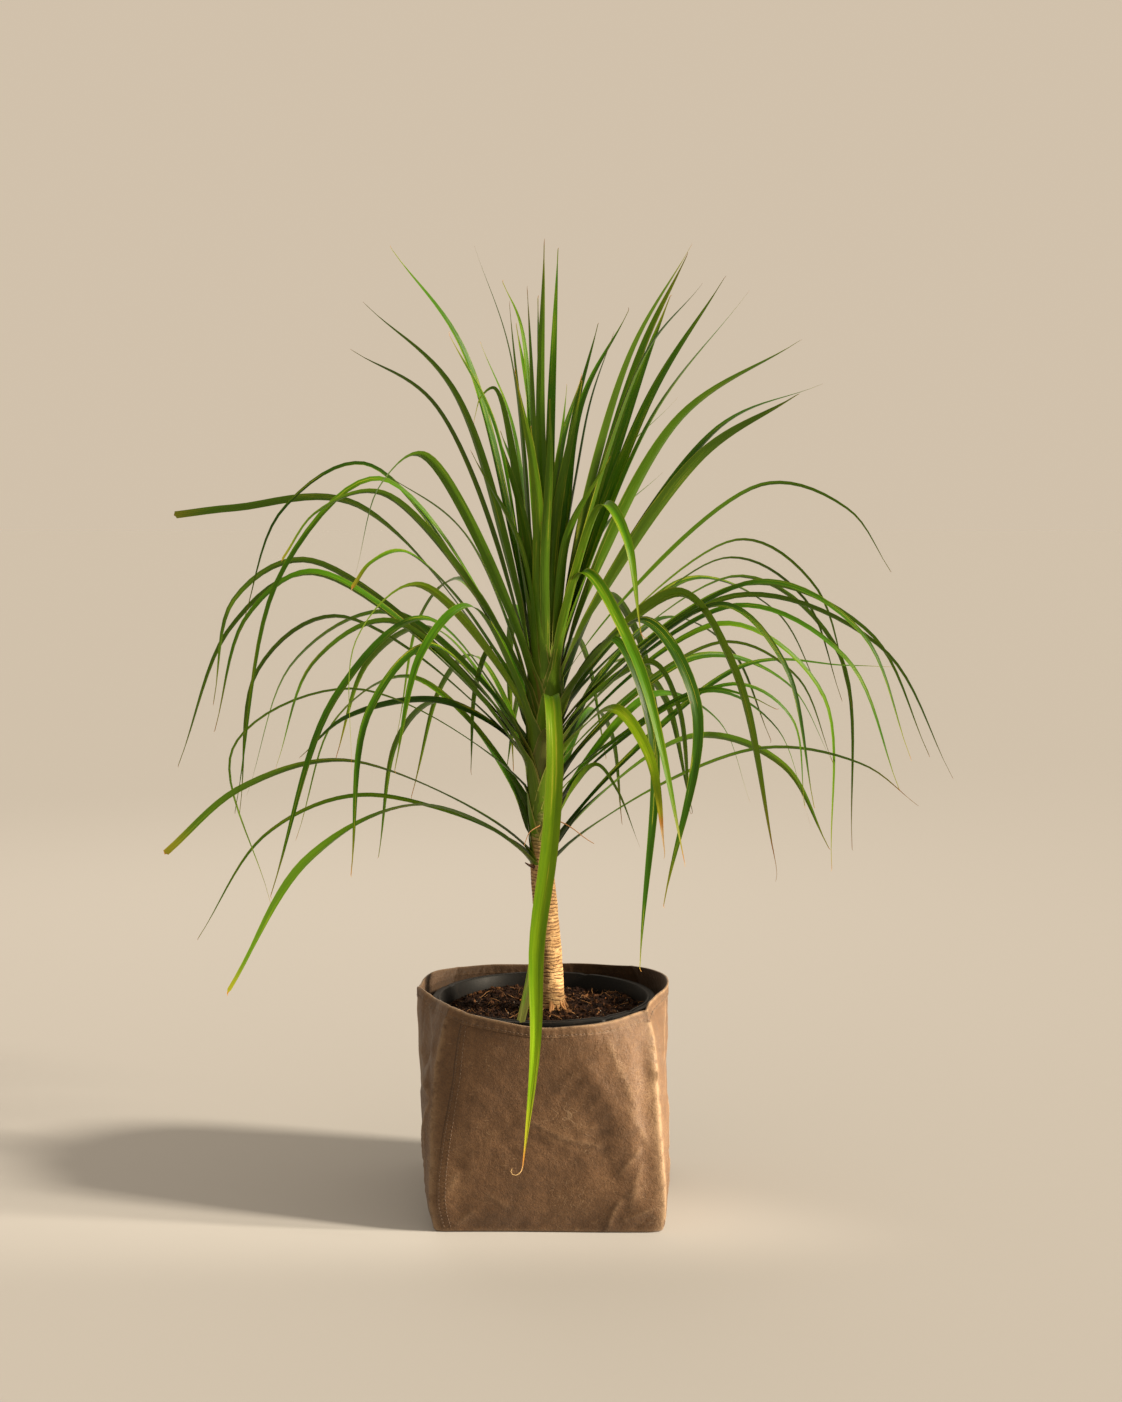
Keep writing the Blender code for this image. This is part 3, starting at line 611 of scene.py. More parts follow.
@dataclass(frozen=True)
class LeafSkin:
    """A strap leaf: deep green with fine veins and thin yellow margins, paler below, with a dry tip."""

    shade: Colour = (0.008, 0.028, 0.001)
    green: Colour = (0.051, 0.162, 0.001)
    bright: Colour = (0.22, 0.325, 0.004)
    under: Colour = (0.11, 0.18, 0.014)
    yellow: Colour = (0.5, 0.43, 0.046)
    ripe: Colour = (0.33, 0.27, 0.018)
    foot: Colour = (0.15, 0.22, 0.02)
    margin: Colour = (0.42, 0.33, 0.11)
    brown: Colour = (0.17, 0.075, 0.025)
    orange: Colour = (0.4, 0.175, 0.03)
    tan: Colour = (0.56, 0.38, 0.18)
    dull: Colour = (0.11, 0.105, 0.03)

    def material(self) -> Material:
        """Build the finish.

        Returns:
            The material.
        """
        sheet = FinishSheet("strap_leaf", specular=0.13)
        along, across, tone = sheet.value("along"), sheet.value("across"), sheet.value("tone")
        far_out = abs(across)
        lane = sheet.get("ShaderNodeCombineXYZ", {0: across, 1: along, 2: tone})
        vein = sheet.noise(sheet.scaled(lane, (8.0, 1.8, 91.0)), 1.0, 3.0, 0.6)
        fine = sheet.noise(sheet.scaled(lane, (46.0, 5.0, 131.0)), 1.0, 2.0, 0.5)
        drift = sheet.noise(sheet.scaled(lane, (1.1, 6.0, 57.0)), 1.0, 3.0, 0.6)
        # Painted shade: the tone falls towards each blade's foot, for the shade in the crown's middle, and
        # rises a little towards the tip.
        deep = sheet.span(along, 0.55, 0.9) * 0.04 - sheet.span(along, 0.26, 0.02) * 0.22
        shade = tone + deep + (drift - 0.5) * 0.6 + (vein - 0.5) * 0.38 + (fine - 0.5) * 0.24
        sheet.ramp(shade, (0.0, self.shade), (0.45, self.green), (1.0, self.bright))
        sheet.lay(sheet.span(far_out + vein * 0.16, 1.0, 1.09) * 0.62, self.yellow)
        streaks = sheet.span(vein, 0.565, 0.645) * sheet.span(drift, 0.48, 0.6)
        sheet.lay(streaks * 0.75, self.yellow)
        sheet.lay(sheet.span(sheet.value("lift"), -0.002, 0.002) * 0.42, self.under)
        # The clasping foot is paler, with dry brown edges.
        clasp = sheet.value("clasp")
        sheet.lay(clasp * 0.28, self.foot)
        edge = sheet.span(far_out + vein * 0.5, 1.06, 1.24) * clasp
        sheet.lay(edge * 0.45, self.margin)
        sheet.lay(sheet.span(drift, 0.6, 0.72) * clasp * 0.6, self.brown)
        # Old leaves yellow from their outer part, and every tip dries through orange to tan.
        old = sheet.span(tone, 0.8, 1.1) * sheet.span(along, 0.2, 0.6)
        old = old * sheet.span(drift + far_out, 0.35, 1.0)
        sheet.lay(old * 0.85, self.yellow)
        ragged = along + (vein - 0.5) * 0.09 + sheet.value("dry")
        sheet.lay(sheet.span(ragged, 0.87, 1.0) * 0.7, self.ripe)
        sheet.lay(sheet.span(ragged, 0.975, 1.005), self.orange)
        sheet.lay(sheet.span(ragged, 1.01, 1.04), self.tan)
        sheet.lay(sheet.value("fade") * sheet.span(drift, 0.3, 0.55), self.dull)
        spot = sheet.noise(sheet.scaled(lane, (2.4, 46.0, 173.0)), 1.0, 1.0)
        sheet.lay(sheet.span(spot, 0.78, 0.82) * 0.8, self.brown)
        rib = sheet.sum("SINE", across * 46.0)
        sheet.press(rib * 0.35 + vein, 0.00002)
        sheet.press(drift, 0.0008)
        return sheet.finish(sheet.span(ragged, 0.97, 1.02) * 0.35 + drift * 0.3 + 0.26)


@dataclass(frozen=True)
class SewingThread:
    """Brown bonded thread."""

    dark: Colour = (0.05, 0.024, 0.01)
    light: Colour = (0.11, 0.06, 0.027)

    def material(self) -> Material:
        """Build the finish.

        Returns:
            The material.
        """
        sheet = FinishSheet("sewing_thread", sheen=0.2)
        twist = sheet.noise(sheet.place(), 2500.0, 1.0)
        sheet.colour = self.dark
        sheet.lay(twist, self.light)
        sheet.press(twist, 0.0001)
        return sheet.finish(0.6)


class InputKind(Enum):
    """What an input of a recipe takes."""

    NUMBER = "NodeSocketFloat"
    COUNT = "NodeSocketInt"
    SHAPE = "NodeSocketObject"
    FINISH = "NodeSocketMaterial"


class Recipe(NodeSheet):
    """A Geometry Nodes tree with named inputs that runs on a base mesh and leaves a plain mesh."""

    def __init__(self, name: str) -> None:
        """Start the tree.

        Args:
            name: Name of the tree.
        """
        super().__init__(bpy.data.node_groups.new(name, "GeometryNodeTree"))
        self.tree.is_modifier = True
        for way in ("INPUT", "OUTPUT"):
            self.tree.interface.new_socket("Geometry", in_out=way, socket_type="NodeSocketGeometry")
        self.entry = self.add("NodeGroupInput")
        self.identifiers: dict[str, str] = {}

    def input(self, name: str, kind: InputKind = InputKind.NUMBER) -> Wire:
        """Add a named input.

        Args:
            name: Name of the input.
            kind: What it takes.

        Returns:
            The wire that carries it.
        """
        made = self.tree.interface.new_socket(name, in_out="INPUT", socket_type=kind.value)
        self.identifiers[name] = made.identifier
        return Wire(self, self.entry.outputs[name])

    def kept(self, name: str, data_type: str = "FLOAT") -> Wire:
        """A named attribute of the geometry."""
        return self.get("GeometryNodeInputNamedAttribute", {"Name": name}, "Attribute", data_type=data_type)

    def close(self, geometry: object) -> None:
        """End the tree: real geometry, with the finish that the recipe is given.

        Args:
            geometry: What the tree has made.
        """
        real = self.add("GeometryNodeRealizeInstances", {"Geometry": geometry})
        finish = self.input("Finish", InputKind.FINISH)
        dressed = self.add("GeometryNodeSetMaterial", {"Geometry": real, "Material": finish})
        self.add("NodeGroupOutput", {"Geometry": dressed})

    def run(self, base: Piece, name: str, values: dict[str, object]) -> Piece:
        """Run the tree on a base mesh, which it uses up.

        Args:
            base: The object that the tree runs on.
            name: Name of the piece.
            values: A value for each named input.

        Returns:
            The piece, a plain mesh with no modifier.
        """
        modifier = base.modifiers.new(name, "NODES")
        modifier.node_group = self.tree
        for label, value in values.items():
            modifier[self.identifiers[label]] = value
        base.update_tag()
        mesh = evaluated(base)
        bpy.data.objects.remove(base)
        build = bmesh.new()
        build.from_mesh(mesh)
        bmesh.ops.recalc_face_normals(build, faces=build.faces)
        build.to_mesh(mesh)
        build.free()
        piece = link(name, mesh)
        smooth(piece)
        return piece


class ScatterRecipe(Recipe):
    """Copies of a shape strewn over a surface, each with a size, a turn and a tone of its own."""

    def __init__(self) -> None:
        """Lay the tree out."""
        super().__init__("Strew over a surface")
        seed = self.input("Seed", InputKind.COUNT)
        least, most = self.input("Least Size"), self.input("Most Size")
        tumble, lift = self.input("Tumble"), self.input("Lift")
        spread = self.add(
            "GeometryNodeDistributePointsOnFaces",
            {"Mesh": self.entry.outputs["Geometry"], "Density": self.input("Density"), "Seed": seed},
        )
        raised = self.longer(spread.outputs["Normal"], lift)
        points = self.add("GeometryNodeSetPosition", {"Geometry": spread.outputs["Points"], "Offset": raised})
        spin = self.random_vector((0.0, 0.0, -pi), (0.0, 0.0, pi), seed)
        loose = self.random_vector((-pi,) * 3, (pi,) * 3, seed + 1.0)
        tipped = self.longer(loose, tumble)
        turned = self.turn(self.turn(spread.outputs["Rotation"], spin), tipped)
        share = self.sum("POWER", self.random_number(seed + 2.0), 2.2)
        grown = least + (most - least) * share
        shape = self.random_vector((0.72,) * 3, (1.28,) * 3, seed + 3.0)
        scale = self.longer(shape, grown)
        form = self.add("GeometryNodeObjectInfo", {"Object": self.input("Shape", InputKind.SHAPE)})
        strewn = self.add(
            "GeometryNodeInstanceOnPoints",
            {"Points": points, "Instance": form.outputs["Geometry"], "Rotation": turned, "Scale": scale},
        )
        toned = {"Geometry": strewn, "Name": "tone", "Value": self.random_number(seed + 4.0)}
        self.close(self.add("GeometryNodeStoreNamedAttribute", toned, domain="INSTANCE"))

    def random_number(self, seed: object) -> Wire:
        """A random number from 0 to 1, for each point."""
        return self.get("FunctionNodeRandomValue", {2: 0.0, 3: 1.0, "Seed": seed}, 1)

    def random_vector(self, low: Triple, high: Triple, seed: object) -> Wire:
        """A random vector between two, for each point."""
        return self.get("FunctionNodeRandomValue", {0: low, 1: high, "Seed": seed}, data_type="FLOAT_VECTOR")

    def turn(self, rotation: object, by: object) -> Wire:
        """A rotation turned further by Euler angles about its own axes."""
        angles = self.add("FunctionNodeEulerToRotation", {"Euler": by})
        return self.get("FunctionNodeRotateRotation", {0: rotation, 1: angles}, rotation_space="LOCAL")


class StitchRecipe(Recipe):
    """Stitches of one length along a sewn line."""

    def __init__(self) -> None:
        """Lay the tree out."""
        super().__init__("Stitch along a line")
        line = self.add("GeometryNodeMeshToCurve", {"Mesh": self.entry.outputs["Geometry"]})
        spots = self.add(
            "GeometryNodeCurveToPoints", {"Curve": line, "Length": self.input("Pitch")}, mode="LENGTH"
        )
        turned = self.add("FunctionNodeAlignRotationToVector", {"Vector": spots.outputs["Tangent"]}, axis="X")
        bead = self.add("GeometryNodeMeshUVSphere", {"Segments": 8, "Rings": 5, "Radius": 0.5})
        length, thick = self.input("Length"), self.input("Thickness")
        size = self.add("ShaderNodeCombineXYZ", {0: length, 1: thick, 2: thick})
        sewn = {"Points": spots.outputs["Points"], "Instance": bead, "Rotation": turned, "Scale": size}
        self.close(self.add("GeometryNodeInstanceOnPoints", sewn))


class StrandRecipe(Recipe):
    """A round strand along each line, as thick as the line's own half width says."""

    def __init__(self) -> None:
        """Lay the tree out."""
        super().__init__("Strand along a line")
        line = self.add("GeometryNodeMeshToCurve", {"Mesh": self.entry.outputs["Geometry"]})
        ring = self.add("GeometryNodeCurvePrimitiveCircle", {"Resolution": 6, "Radius": 1.0})
        swept = {"Curve": line, "Profile Curve": ring, "Scale": self.kept("half"), "Fill Caps": True}
        self.close(self.add("GeometryNodeCurveToMesh", swept))


class LeafRecipe(Recipe):
    """A blade swept along each midrib, whose foot wraps round the cane."""

    def __init__(self) -> None:
        """Lay the tree out."""
        super().__init__("Sweep a clasping leaf")
        rib = self.add("GeometryNodeMeshToCurve", {"Mesh": self.entry.outputs["Geometry"]})
        facing = self.kept("facing", "FLOAT_VECTOR")
        rib = self.add("GeometryNodeSetCurveNormal", {"Curve": rib, "Normal": facing}, mode="FREE")
        profile = self.add("GeometryNodeObjectInfo", {"Object": self.input("Profile", InputKind.SHAPE)})
        profile = self.add("GeometryNodeMeshToCurve", {"Mesh": profile.outputs["Geometry"]})
        sweep = {"Curve": rib, "Profile Curve": profile, "Scale": self.kept("half"), "Fill Caps": True}
        swept = self.add("GeometryNodeCurveToMesh", sweep)
        outward = self.sum("POWER", abs(self.kept("across")), 1.3)
        depth = outward * self.kept("cup") * self.kept("half")
        cupped = self.longer(self.kept("facing", "FLOAT_VECTOR"), depth * -1.0)
        angle = self.kept("azimuth") + self.kept("across") * self.kept("spread")
        reach = self.kept("reach") + self.kept("lift") * self.input("Sheath Thickness")
        x = self.kept("axis_x") + reach * self.sum("COSINE", angle)
        y = reach * self.sum("SINE", angle)
        wrapped = self.add("ShaderNodeCombineXYZ", {0: x, 1: y, 2: self.kept("height")})
        place = self.add("GeometryNodeInputPosition")
        hollow = self.get("ShaderNodeVectorMath", {0: place, 1: cupped}, operation="ADD")
        both = {0: self.kept("clasp"), 4: hollow, 5: wrapped}
        settled = self.get("ShaderNodeMix", both, 1, data_type="VECTOR")
        self.close(self.add("GeometryNodeSetPosition", {"Geometry": swept, "Position": settled}))


@dataclass
class Cane:
    """The cane: a slight S that leaf scars ring, and the column of sheaths that clasp its upper part."""

    soil_height: float = 0.1935
    foot_x: float = 0.0055
    waist_x: float = -0.0065
    head_x: float = -0.002
    waist_height: float = 0.38
    root_depth: float = 0.0617
    root_radius: float = 0.0065
    flare_radius: float = 0.0145
    flare_height: float = 0.022
    radius: float = 0.012
    neck_radius: float = 0.009
    neck_height: float = 0.335
    neck_run: float = 0.006
    top: float = 0.535
    scar_pitch: float = 0.0036
    scar_relief: float = 0.00065
    core_depth: float = 0.003
    root_count: int = 22
    root_seed: int = 61
    ring_step: float = 0.00055
    core_step: float = 0.0008
    bits: tuple[tuple[tuple[Triple, ...], Pair, float], ...] = (
        (((0.006, -0.012, 0.392), (0.024, -0.026, 0.386), (0.038, -0.034, 0.375), (0.047, -0.035, 0.37)),
         (0.0007, 0.0003), 1.1),
        (((-0.006, -0.01, 0.385), (-0.018, -0.02, 0.38), (-0.023, -0.024, 0.366)), (0.0006, 0.0003), 0.9),
        (((-0.013, -0.008, 0.342), (-0.018, -0.01, 0.344), (-0.022, -0.012, 0.347)), (0.0024, 0.0006), -0.3),
        (((0.003, -0.01, 0.356), (0.005, -0.0145, 0.35), (0.0055, -0.0155, 0.334)), (0.0028, 0.0012), 0.0),
    )
    outline: tuple[Pair, ...] = (
        (0.335, 0.0124), (0.375, 0.0136), (0.425, 0.0158), (0.485, 0.019),
        (0.53, 0.0195), (0.57, 0.013), (0.605, 0.004), (0.611, 0.0),
    )

    def axis_x(self, height: Array | float) -> Array:
        """The cane's middle at that height, left or right of the origin.

        Args:
            height: Heights in the shared frame.

        Returns:
            X of the middle, for each height.
        """
        low = (height - self.soil_height) / (self.waist_height - self.soil_height)
        high = (height - self.waist_height) / (self.top - self.waist_height)
        lower = between((self.foot_x, self.waist_x), eased(low))
        upper = between((self.waist_x, self.head_x), eased(high))
        return np.where(np.asarray(height) < self.waist_height, lower, upper)

    def column(self, height: Array | float) -> Array:
        """Radius of the column of sheaths."""
        heights, radii = zip(*self.outline)
        return np.interp(height, heights, radii)

    def cane_radius(self, height: Array) -> Array:
        """Radius of the cane without its rings.

        Args:
            height: Heights in the shared frame.

        Returns:
            Radii, for each height.
        """
        rise = np.clip((height - self.soil_height) / self.flare_height, 0.0, 1.0)
        above = between((self.radius, self.flare_radius), (1.0 - rise) ** 2)
        depth = np.clip((self.soil_height - height) / self.root_depth, 0.0, 1.0)
        below = between((self.flare_radius, self.root_radius), depth)
        slim = eased((height - self.neck_height) / self.neck_run)
        bare = np.where(height >= self.soil_height, above, below)
        return between((bare, self.neck_radius), slim)

    def scars(self, angle: Array, height: Array, seed: int) -> Array:
        """How proud the bark stands, from 0 in the crack between two leaf scars to 1 between the cracks.

        Args:
            angle: Angles round the cane.
            height: Heights, in a shape that goes with the angles.
            seed: Seed of its unevenness.

        Returns:
            The shares.
        """
        tilt = 0.0012 * np.sin(angle + 34.0 * height)
        tilt = tilt + 0.001 * ripples(angle, height, seed, 9, 5, (0.015, 0.07))
        phase = ((height + tilt + 0.0009 * np.sin(430.0 * height)) / self.scar_pitch) % 1.0
        crack = np.exp(-(((phase - 0.5) / 0.135) ** 2))
        broken = eased(0.62 + 0.42 * ripples(angle, height, seed + 1, 14, 9, (0.004, 0.03)))
        return np.clip(1.0 - crack * broken, 0.0, 1.0)

    def body(self, name: str, heights: Array, radii: Array, young: Array, seed: int) -> Piece:
        """A ringed body round the cane's line.

        Args:
            name: Name of the piece.
            heights: Height of each ring of points.
            radii: Radius of each ring of points.
            young: How green each ring is, from 0 to 1.
            seed: Seed of its unevenness.

        Returns:
            The object.
        """
        angle = once_round(80)
        height = heights[:, None]
        scar = self.scars(angle, height, seed)
        lumps = ripples(angle, height, seed + 2, 10, 4, (0.02, 0.12))
        shown = eased((height - self.soil_height + 0.004) / 0.006)
        radius = radii[:, None] + shown * ((scar - 0.75) * self.scar_relief + 0.0003 * lumps)
        radius = np.maximum(radius, 0.0002)
        centre = self.axis_x(height)
        flat = np.broadcast_to(height, radius.shape)
        rows = np.stack((centre + radius * np.cos(angle), radius * np.sin(angle), flat), axis=-1)
        values = {"scar": scar, "young": np.broadcast_to(young[:, None], scar.shape)}
        return ring_mesh(name, rows, values=values)

    def build_trunk(self) -> Piece:
        """The bare cane, from its root end in the soil to its slim top inside the sheaths."""
        heights = np.arange(self.soil_height - self.root_depth, self.top, self.ring_step)
        return self.body("cane_trunk", heights, self.cane_radius(heights), np.zeros(len(heights)), 11)

    def strand(self, points: tuple[Triple, ...], half: Pair, tone: float) -> Stations:
        """A smooth line through a few points, thick at its start and thin at its end.

        Args:
            points: The points.
            half: Half widths at its start and its end.
            tone: Its tone, from 0 to 1.

        Returns:
            What the strand's recipe reads at each station.
        """
        share = np.linspace(0.0, 1.0, 15)
        knots = np.linspace(0.0, 1.0, len(points))
        place = np.stack([np.interp(share, knots, part) for part in zip(*points)], axis=-1)
        for _ in range(6):
            place[1:-1] = 0.25 * place[:-2] + 0.5 * place[1:-1] + 0.25 * place[2:]
        return {"position": place, "half": between(half, share ** 0.8), "tone": np.full(15, tone)}

    def build_roots(self, recipe: StrandRecipe, material: Material) -> Piece:
        """The fibrous roots that spread from the cane's foot into the soil.

        Args:
            recipe: The recipe that sweeps a strand.
            material: The finish.

        Returns:
            The piece.
        """
        draw = random.Random(self.root_seed)
        lines = []
        for number in range(self.root_count):
            angle = FULL_TURN * (number + draw.uniform(-0.4, 0.4)) / self.root_count
            reach, bend = draw.uniform(0.018, 0.034), draw.uniform(-0.35, 0.35)
            rise = draw.uniform(0.004, 0.013)
            points = []
            buried = (reach * 1.25, -0.006, bend)
            for out, up, turn in ((0.011, rise, 0.0), (0.015, 0.003, 0.0), (reach, 0.0004, bend), buried):
                x = self.foot_x + out * cos(angle + turn)
                points.append((x, out * sin(angle + turn), self.soil_height + up))
            half = (draw.uniform(0.0012, 0.0022), 0.0004)
            lines.append(self.strand(tuple(points), half, draw.uniform(0.3, 0.9)))
        return recipe.run(line_mesh("root_fibres", lines), "root_fibres", {"Finish": material})

    def build_bits(self, recipe: StrandRecipe, material: Material) -> Piece:
        """What hangs on the cane below the sheaths: dry threads, a dark bud and an old stub."""
        lines = [self.strand(points, half, tone) for points, half, tone in self.bits]
        return recipe.run(line_mesh("cane_bits", lines), "cane_bits", {"Finish": material})

    def build_core(self) -> Piece:
        """The stem between the sheaths, tan below and green towards the growing point.

        Returns:
            The piece.
        """
        heights = np.arange(self.neck_height - 0.003, 0.606, self.core_step)
        radii = np.maximum(self.column(heights) - self.core_depth * eased((heights - 0.33) / 0.03), 0.0015)
        young = eased((heights - 0.35) / 0.04)
        return self.body("stem_in_sheaths", heights, radii, young, 17)


@dataclass(frozen=True)
class Leaf:
    """One strap leaf: the way it points, where its sheath leaves the cane, and where it bends and ends.

    Bend and tip are (distance out from the cane, height above the floor) in the leaf's own upright plane.
    Belly is how far the hanging part stands out past its natural course, sway how far the tip stands to the
    left of the plane, seen from the cane, and roll how far the blade turns about its midrib in degrees. Tone
    runs from deep green at 0 to yellow green at 1, dry is the share of the blade that has dried from the tip,
    thread the length of the dry thread that it ends in and curl how far that turns, in radians. Blunt is how
    wide a broken tip stays, as a share of the width. Scale widens the blade, bow moves its crest and lean its
    hanging part to the left of the plane, and twist turns the hanging part further, in degrees. Fade is how
    far the blade has lost its green.
    """

    azimuth: float
    root: float
    width: float
    bend: Pair
    tip: Pair
    belly: float = 0.0
    sway: float = 0.0
    roll: float | None = None
    tone: float | None = None
    dry: float | None = None
    curl: float | None = None
    thread: float | None = None
    blunt: float = 0.0
    scale: float = 1.0
    bow: float = 0.0
    lean: float = 0.0
    twist: float | None = None
    fade: float = 0.0


class LeafGroup(Enum):
    """The bunches that the crown's leaves are joined in."""

    UPRIGHT = "upright_leaves"
    RIGHT = "right_leaves"
    LEFT = "left_leaves"
    FRONT = "front_leaves"
    FAR = "far_leaves"
    NEAR = "near_leaves"


LEAVES: dict[LeafGroup, tuple[Leaf, ...]] = {LeafGroup.UPRIGHT: (
    Leaf(178, 0.535, 0.012, (0.08, 0.855), (0.15, 0.955)),
    Leaf(150, 0.545, 0.011, (0.04, 0.85), (0.08, 0.96)),
    Leaf(200, 0.525, 0.012, (0.095, 0.815), (0.18, 0.895)),
    Leaf(165, 0.525, 0.012, (0.115, 0.805), (0.2, 0.86)),
    Leaf(215, 0.535, 0.015, (0.06, 0.78), (0.11, 0.865)),
    Leaf(190, 0.545, 0.013, (0.05, 0.82), (0.07, 0.79)),
    Leaf(120, 0.555, 0.009, (0.05, 0.88), (0.085, 0.93)),
    Leaf(170, 0.555, 0.009, (0.02, 0.74), (0.035, 0.9)),
    Leaf(250, 0.555, 0.009, (0.03, 0.76), (0.055, 0.91)),
    Leaf(265, 0.555, 0.011, (0.02, 0.78), (0.035, 0.955)),
    Leaf(75, 0.555, 0.01, (0.03, 0.78), (0.045, 0.96)),
    Leaf(100, 0.555, 0.008, (0.02, 0.75), (0.035, 0.91)),
    Leaf(60, 0.555, 0.01, (0.06, 0.79), (0.105, 0.89)),
    Leaf(35, 0.555, 0.01, (0.05, 0.79), (0.085, 0.875)),
    Leaf(5, 0.55, 0.017, (0.085, 0.85), (0.145, 0.96)),
    Leaf(350, 0.545, 0.014, (0.095, 0.85), (0.14, 0.945)),
    Leaf(25, 0.55, 0.014, (0.105, 0.83), (0.14, 0.915)),
    Leaf(330, 0.545, 0.016, (0.11, 0.845), (0.17, 0.91)),
    Leaf(15, 0.54, 0.013, (0.105, 0.805), (0.185, 0.93)),
    Leaf(340, 0.535, 0.013, (0.11, 0.785), (0.205, 0.905)),
    Leaf(355, 0.525, 0.017, (0.13, 0.785), (0.25, 0.865)),
    Leaf(20, 0.52, 0.013, (0.185, 0.78), (0.305, 0.83)),
    Leaf(345, 0.525, 0.016, (0.155, 0.75), (0.25, 0.81)),
), LeafGroup.RIGHT: (
    Leaf(0, 0.52, 0.007, (0.215, 0.725), (0.345, 0.64)),
    Leaf(12, 0.505, 0.006, (0.2, 0.67), (0.325, 0.5)),
    Leaf(22, 0.495, 0.006, (0.2, 0.65), (0.34, 0.5)),
    Leaf(345, 0.475, 0.01, (0.215, 0.63), (0.365, 0.465)),
    Leaf(30, 0.485, 0.008, (0.235, 0.63), (0.39, 0.33), belly=0.03),
    Leaf(355, 0.46, 0.009, (0.19, 0.605), (0.355, 0.425)),
    Leaf(352, 0.47, 0.009, (0.19, 0.615), (0.405, 0.44)),
    Leaf(8, 0.475, 0.007, (0.205, 0.625), (0.4, 0.45)),
    Leaf(335, 0.455, 0.009, (0.19, 0.61), (0.285, 0.42)),
    Leaf(10, 0.445, 0.009, (0.185, 0.585), (0.305, 0.33), belly=0.025),
    Leaf(350, 0.435, 0.007, (0.18, 0.57), (0.29, 0.455)),
    Leaf(15, 0.395, 0.007, (0.175, 0.515), (0.29, 0.375)),
    Leaf(340, 0.405, 0.007, (0.165, 0.525), (0.24, 0.51)),
    Leaf(5, 0.415, 0.006, (0.195, 0.525), (0.27, 0.4), belly=0.01),
    Leaf(25, 0.355, 0.009, (0.23, 0.535), (0.42, 0.53)),
    Leaf(10, 0.345, 0.008, (0.215, 0.455), (0.395, 0.395), dry=0.06),
), LeafGroup.LEFT: (
    Leaf(172, 0.485, 0.011, (0.19, 0.705), (0.38, 0.695),
         tone=0.34, dry=-0.05, blunt=0.85, thread=0.002, scale=1.05, roll=10.0, twist=52.0),
    Leaf(185, 0.495, 0.006, (0.175, 0.745), (0.3, 0.585)),
    Leaf(195, 0.505, 0.008, (0.165, 0.73), (0.31, 0.41)),
    Leaf(210, 0.51, 0.011, (0.175, 0.715), (0.28, 0.655), dry=-0.04, blunt=0.45, thread=0.003),
    Leaf(235, 0.515, 0.013, (0.19, 0.75), (0.29, 0.645), tone=0.35, dry=-0.03, thread=0.004),
    Leaf(180, 0.455, 0.009, (0.235, 0.65), (0.33, 0.51), belly=0.01),
    Leaf(188, 0.45, 0.009, (0.225, 0.64), (0.325, 0.485)),
    Leaf(168, 0.445, 0.009, (0.24, 0.635), (0.39, 0.435), belly=-0.01),
    Leaf(160, 0.44, 0.007, (0.225, 0.59), (0.345, 0.38), belly=0.015),
    Leaf(222, 0.485, 0.014, (0.17, 0.66), (0.235, 0.63), tone=0.5, dry=-0.01, blunt=0.35,
         thread=0.005),
    Leaf(240, 0.465, 0.012, (0.135, 0.61), (0.26, 0.47)),
    Leaf(225, 0.475, 0.012, (0.165, 0.63), (0.25, 0.455), belly=0.02, tone=0.8, dry=0.04),
    Leaf(190, 0.435, 0.011, (0.15, 0.59), (0.265, 0.45)),
    Leaf(215, 0.435, 0.01, (0.13, 0.57), (0.22, 0.355), belly=0.01),
    Leaf(205, 0.445, 0.011, (0.125, 0.595), (0.285, 0.335), belly=-0.015),
    Leaf(150, 0.455, 0.008, (0.06, 0.56), (0.085, 0.435)),
    Leaf(175, 0.415, 0.009, (0.19, 0.52), (0.28, 0.3), belly=0.065, scale=0.62, thread=0.012),
    Leaf(165, 0.445, 0.011, (0.1, 0.505), (0.26, 0.445)),
    Leaf(185, 0.355, 0.009, (0.19, 0.45), (0.375, 0.36),
         belly=-0.015, tone=0.26, dry=-0.02, blunt=0.9, thread=0.002, scale=1.15, roll=8.0, twist=52.0),
    Leaf(200, 0.345, 0.013, (0.125, 0.41), (0.32, 0.24),
         belly=-0.015, tone=0.44, dry=-0.035, blunt=0.35, thread=0.007, scale=1.3, roll=8.0, twist=58.0),
    Leaf(170, 0.35, 0.006, (0.18, 0.41), (0.365, 0.255), belly=-0.015),
), LeafGroup.FRONT: (
    Leaf(300, 0.525, 0.013, (0.115, 0.705), (0.18, 0.59), roll=20.0, tone=0.55, thread=0.012, curl=1.6),
    Leaf(303, 0.51, 0.015, (0.07, 0.64), (0.235, 0.38),
         belly=-0.025, roll=25.0, tone=0.52, dry=0.01, scale=0.76),
    Leaf(335, 0.495, 0.014, (0.145, 0.62), (0.245, 0.365),
         belly=-0.01, tone=0.66, dry=0.03, thread=0.022, twist=-20.0),
    Leaf(315, 0.485, 0.013, (0.135, 0.595), (0.165, 0.325), belly=0.045),
    Leaf(322, 0.475, 0.011, (0.085, 0.575), (0.12, 0.255), belly=0.025),
    Leaf(345, 0.47, 0.011, (0.11, 0.55), (0.15, 0.405)),
    Leaf(352, 0.375, 0.009, (0.055, 0.445), (0.1, 0.365), belly=-0.01),
    Leaf(310, 0.435, 0.012, (0.11, 0.51), (0.18, 0.38), tone=0.8, dry=0.1, thread=0.008),
    Leaf(276, 0.465, 0.01, (0.06, 0.485), (0.13, 0.215),
         sway=-0.036, roll=-10.0, tone=0.34, dry=-0.18, blunt=0.8, thread=0.002, bow=0.006, lean=0.007,
         fade=0.85),
    Leaf(275, 0.475, 0.014, (0.085, 0.52), (0.165, 0.085),
         sway=-0.03, roll=8.0, tone=0.7, dry=0.015, curl=-3.4, thread=0.022, scale=1.2, bow=0.004,
         lean=-0.01),
)}


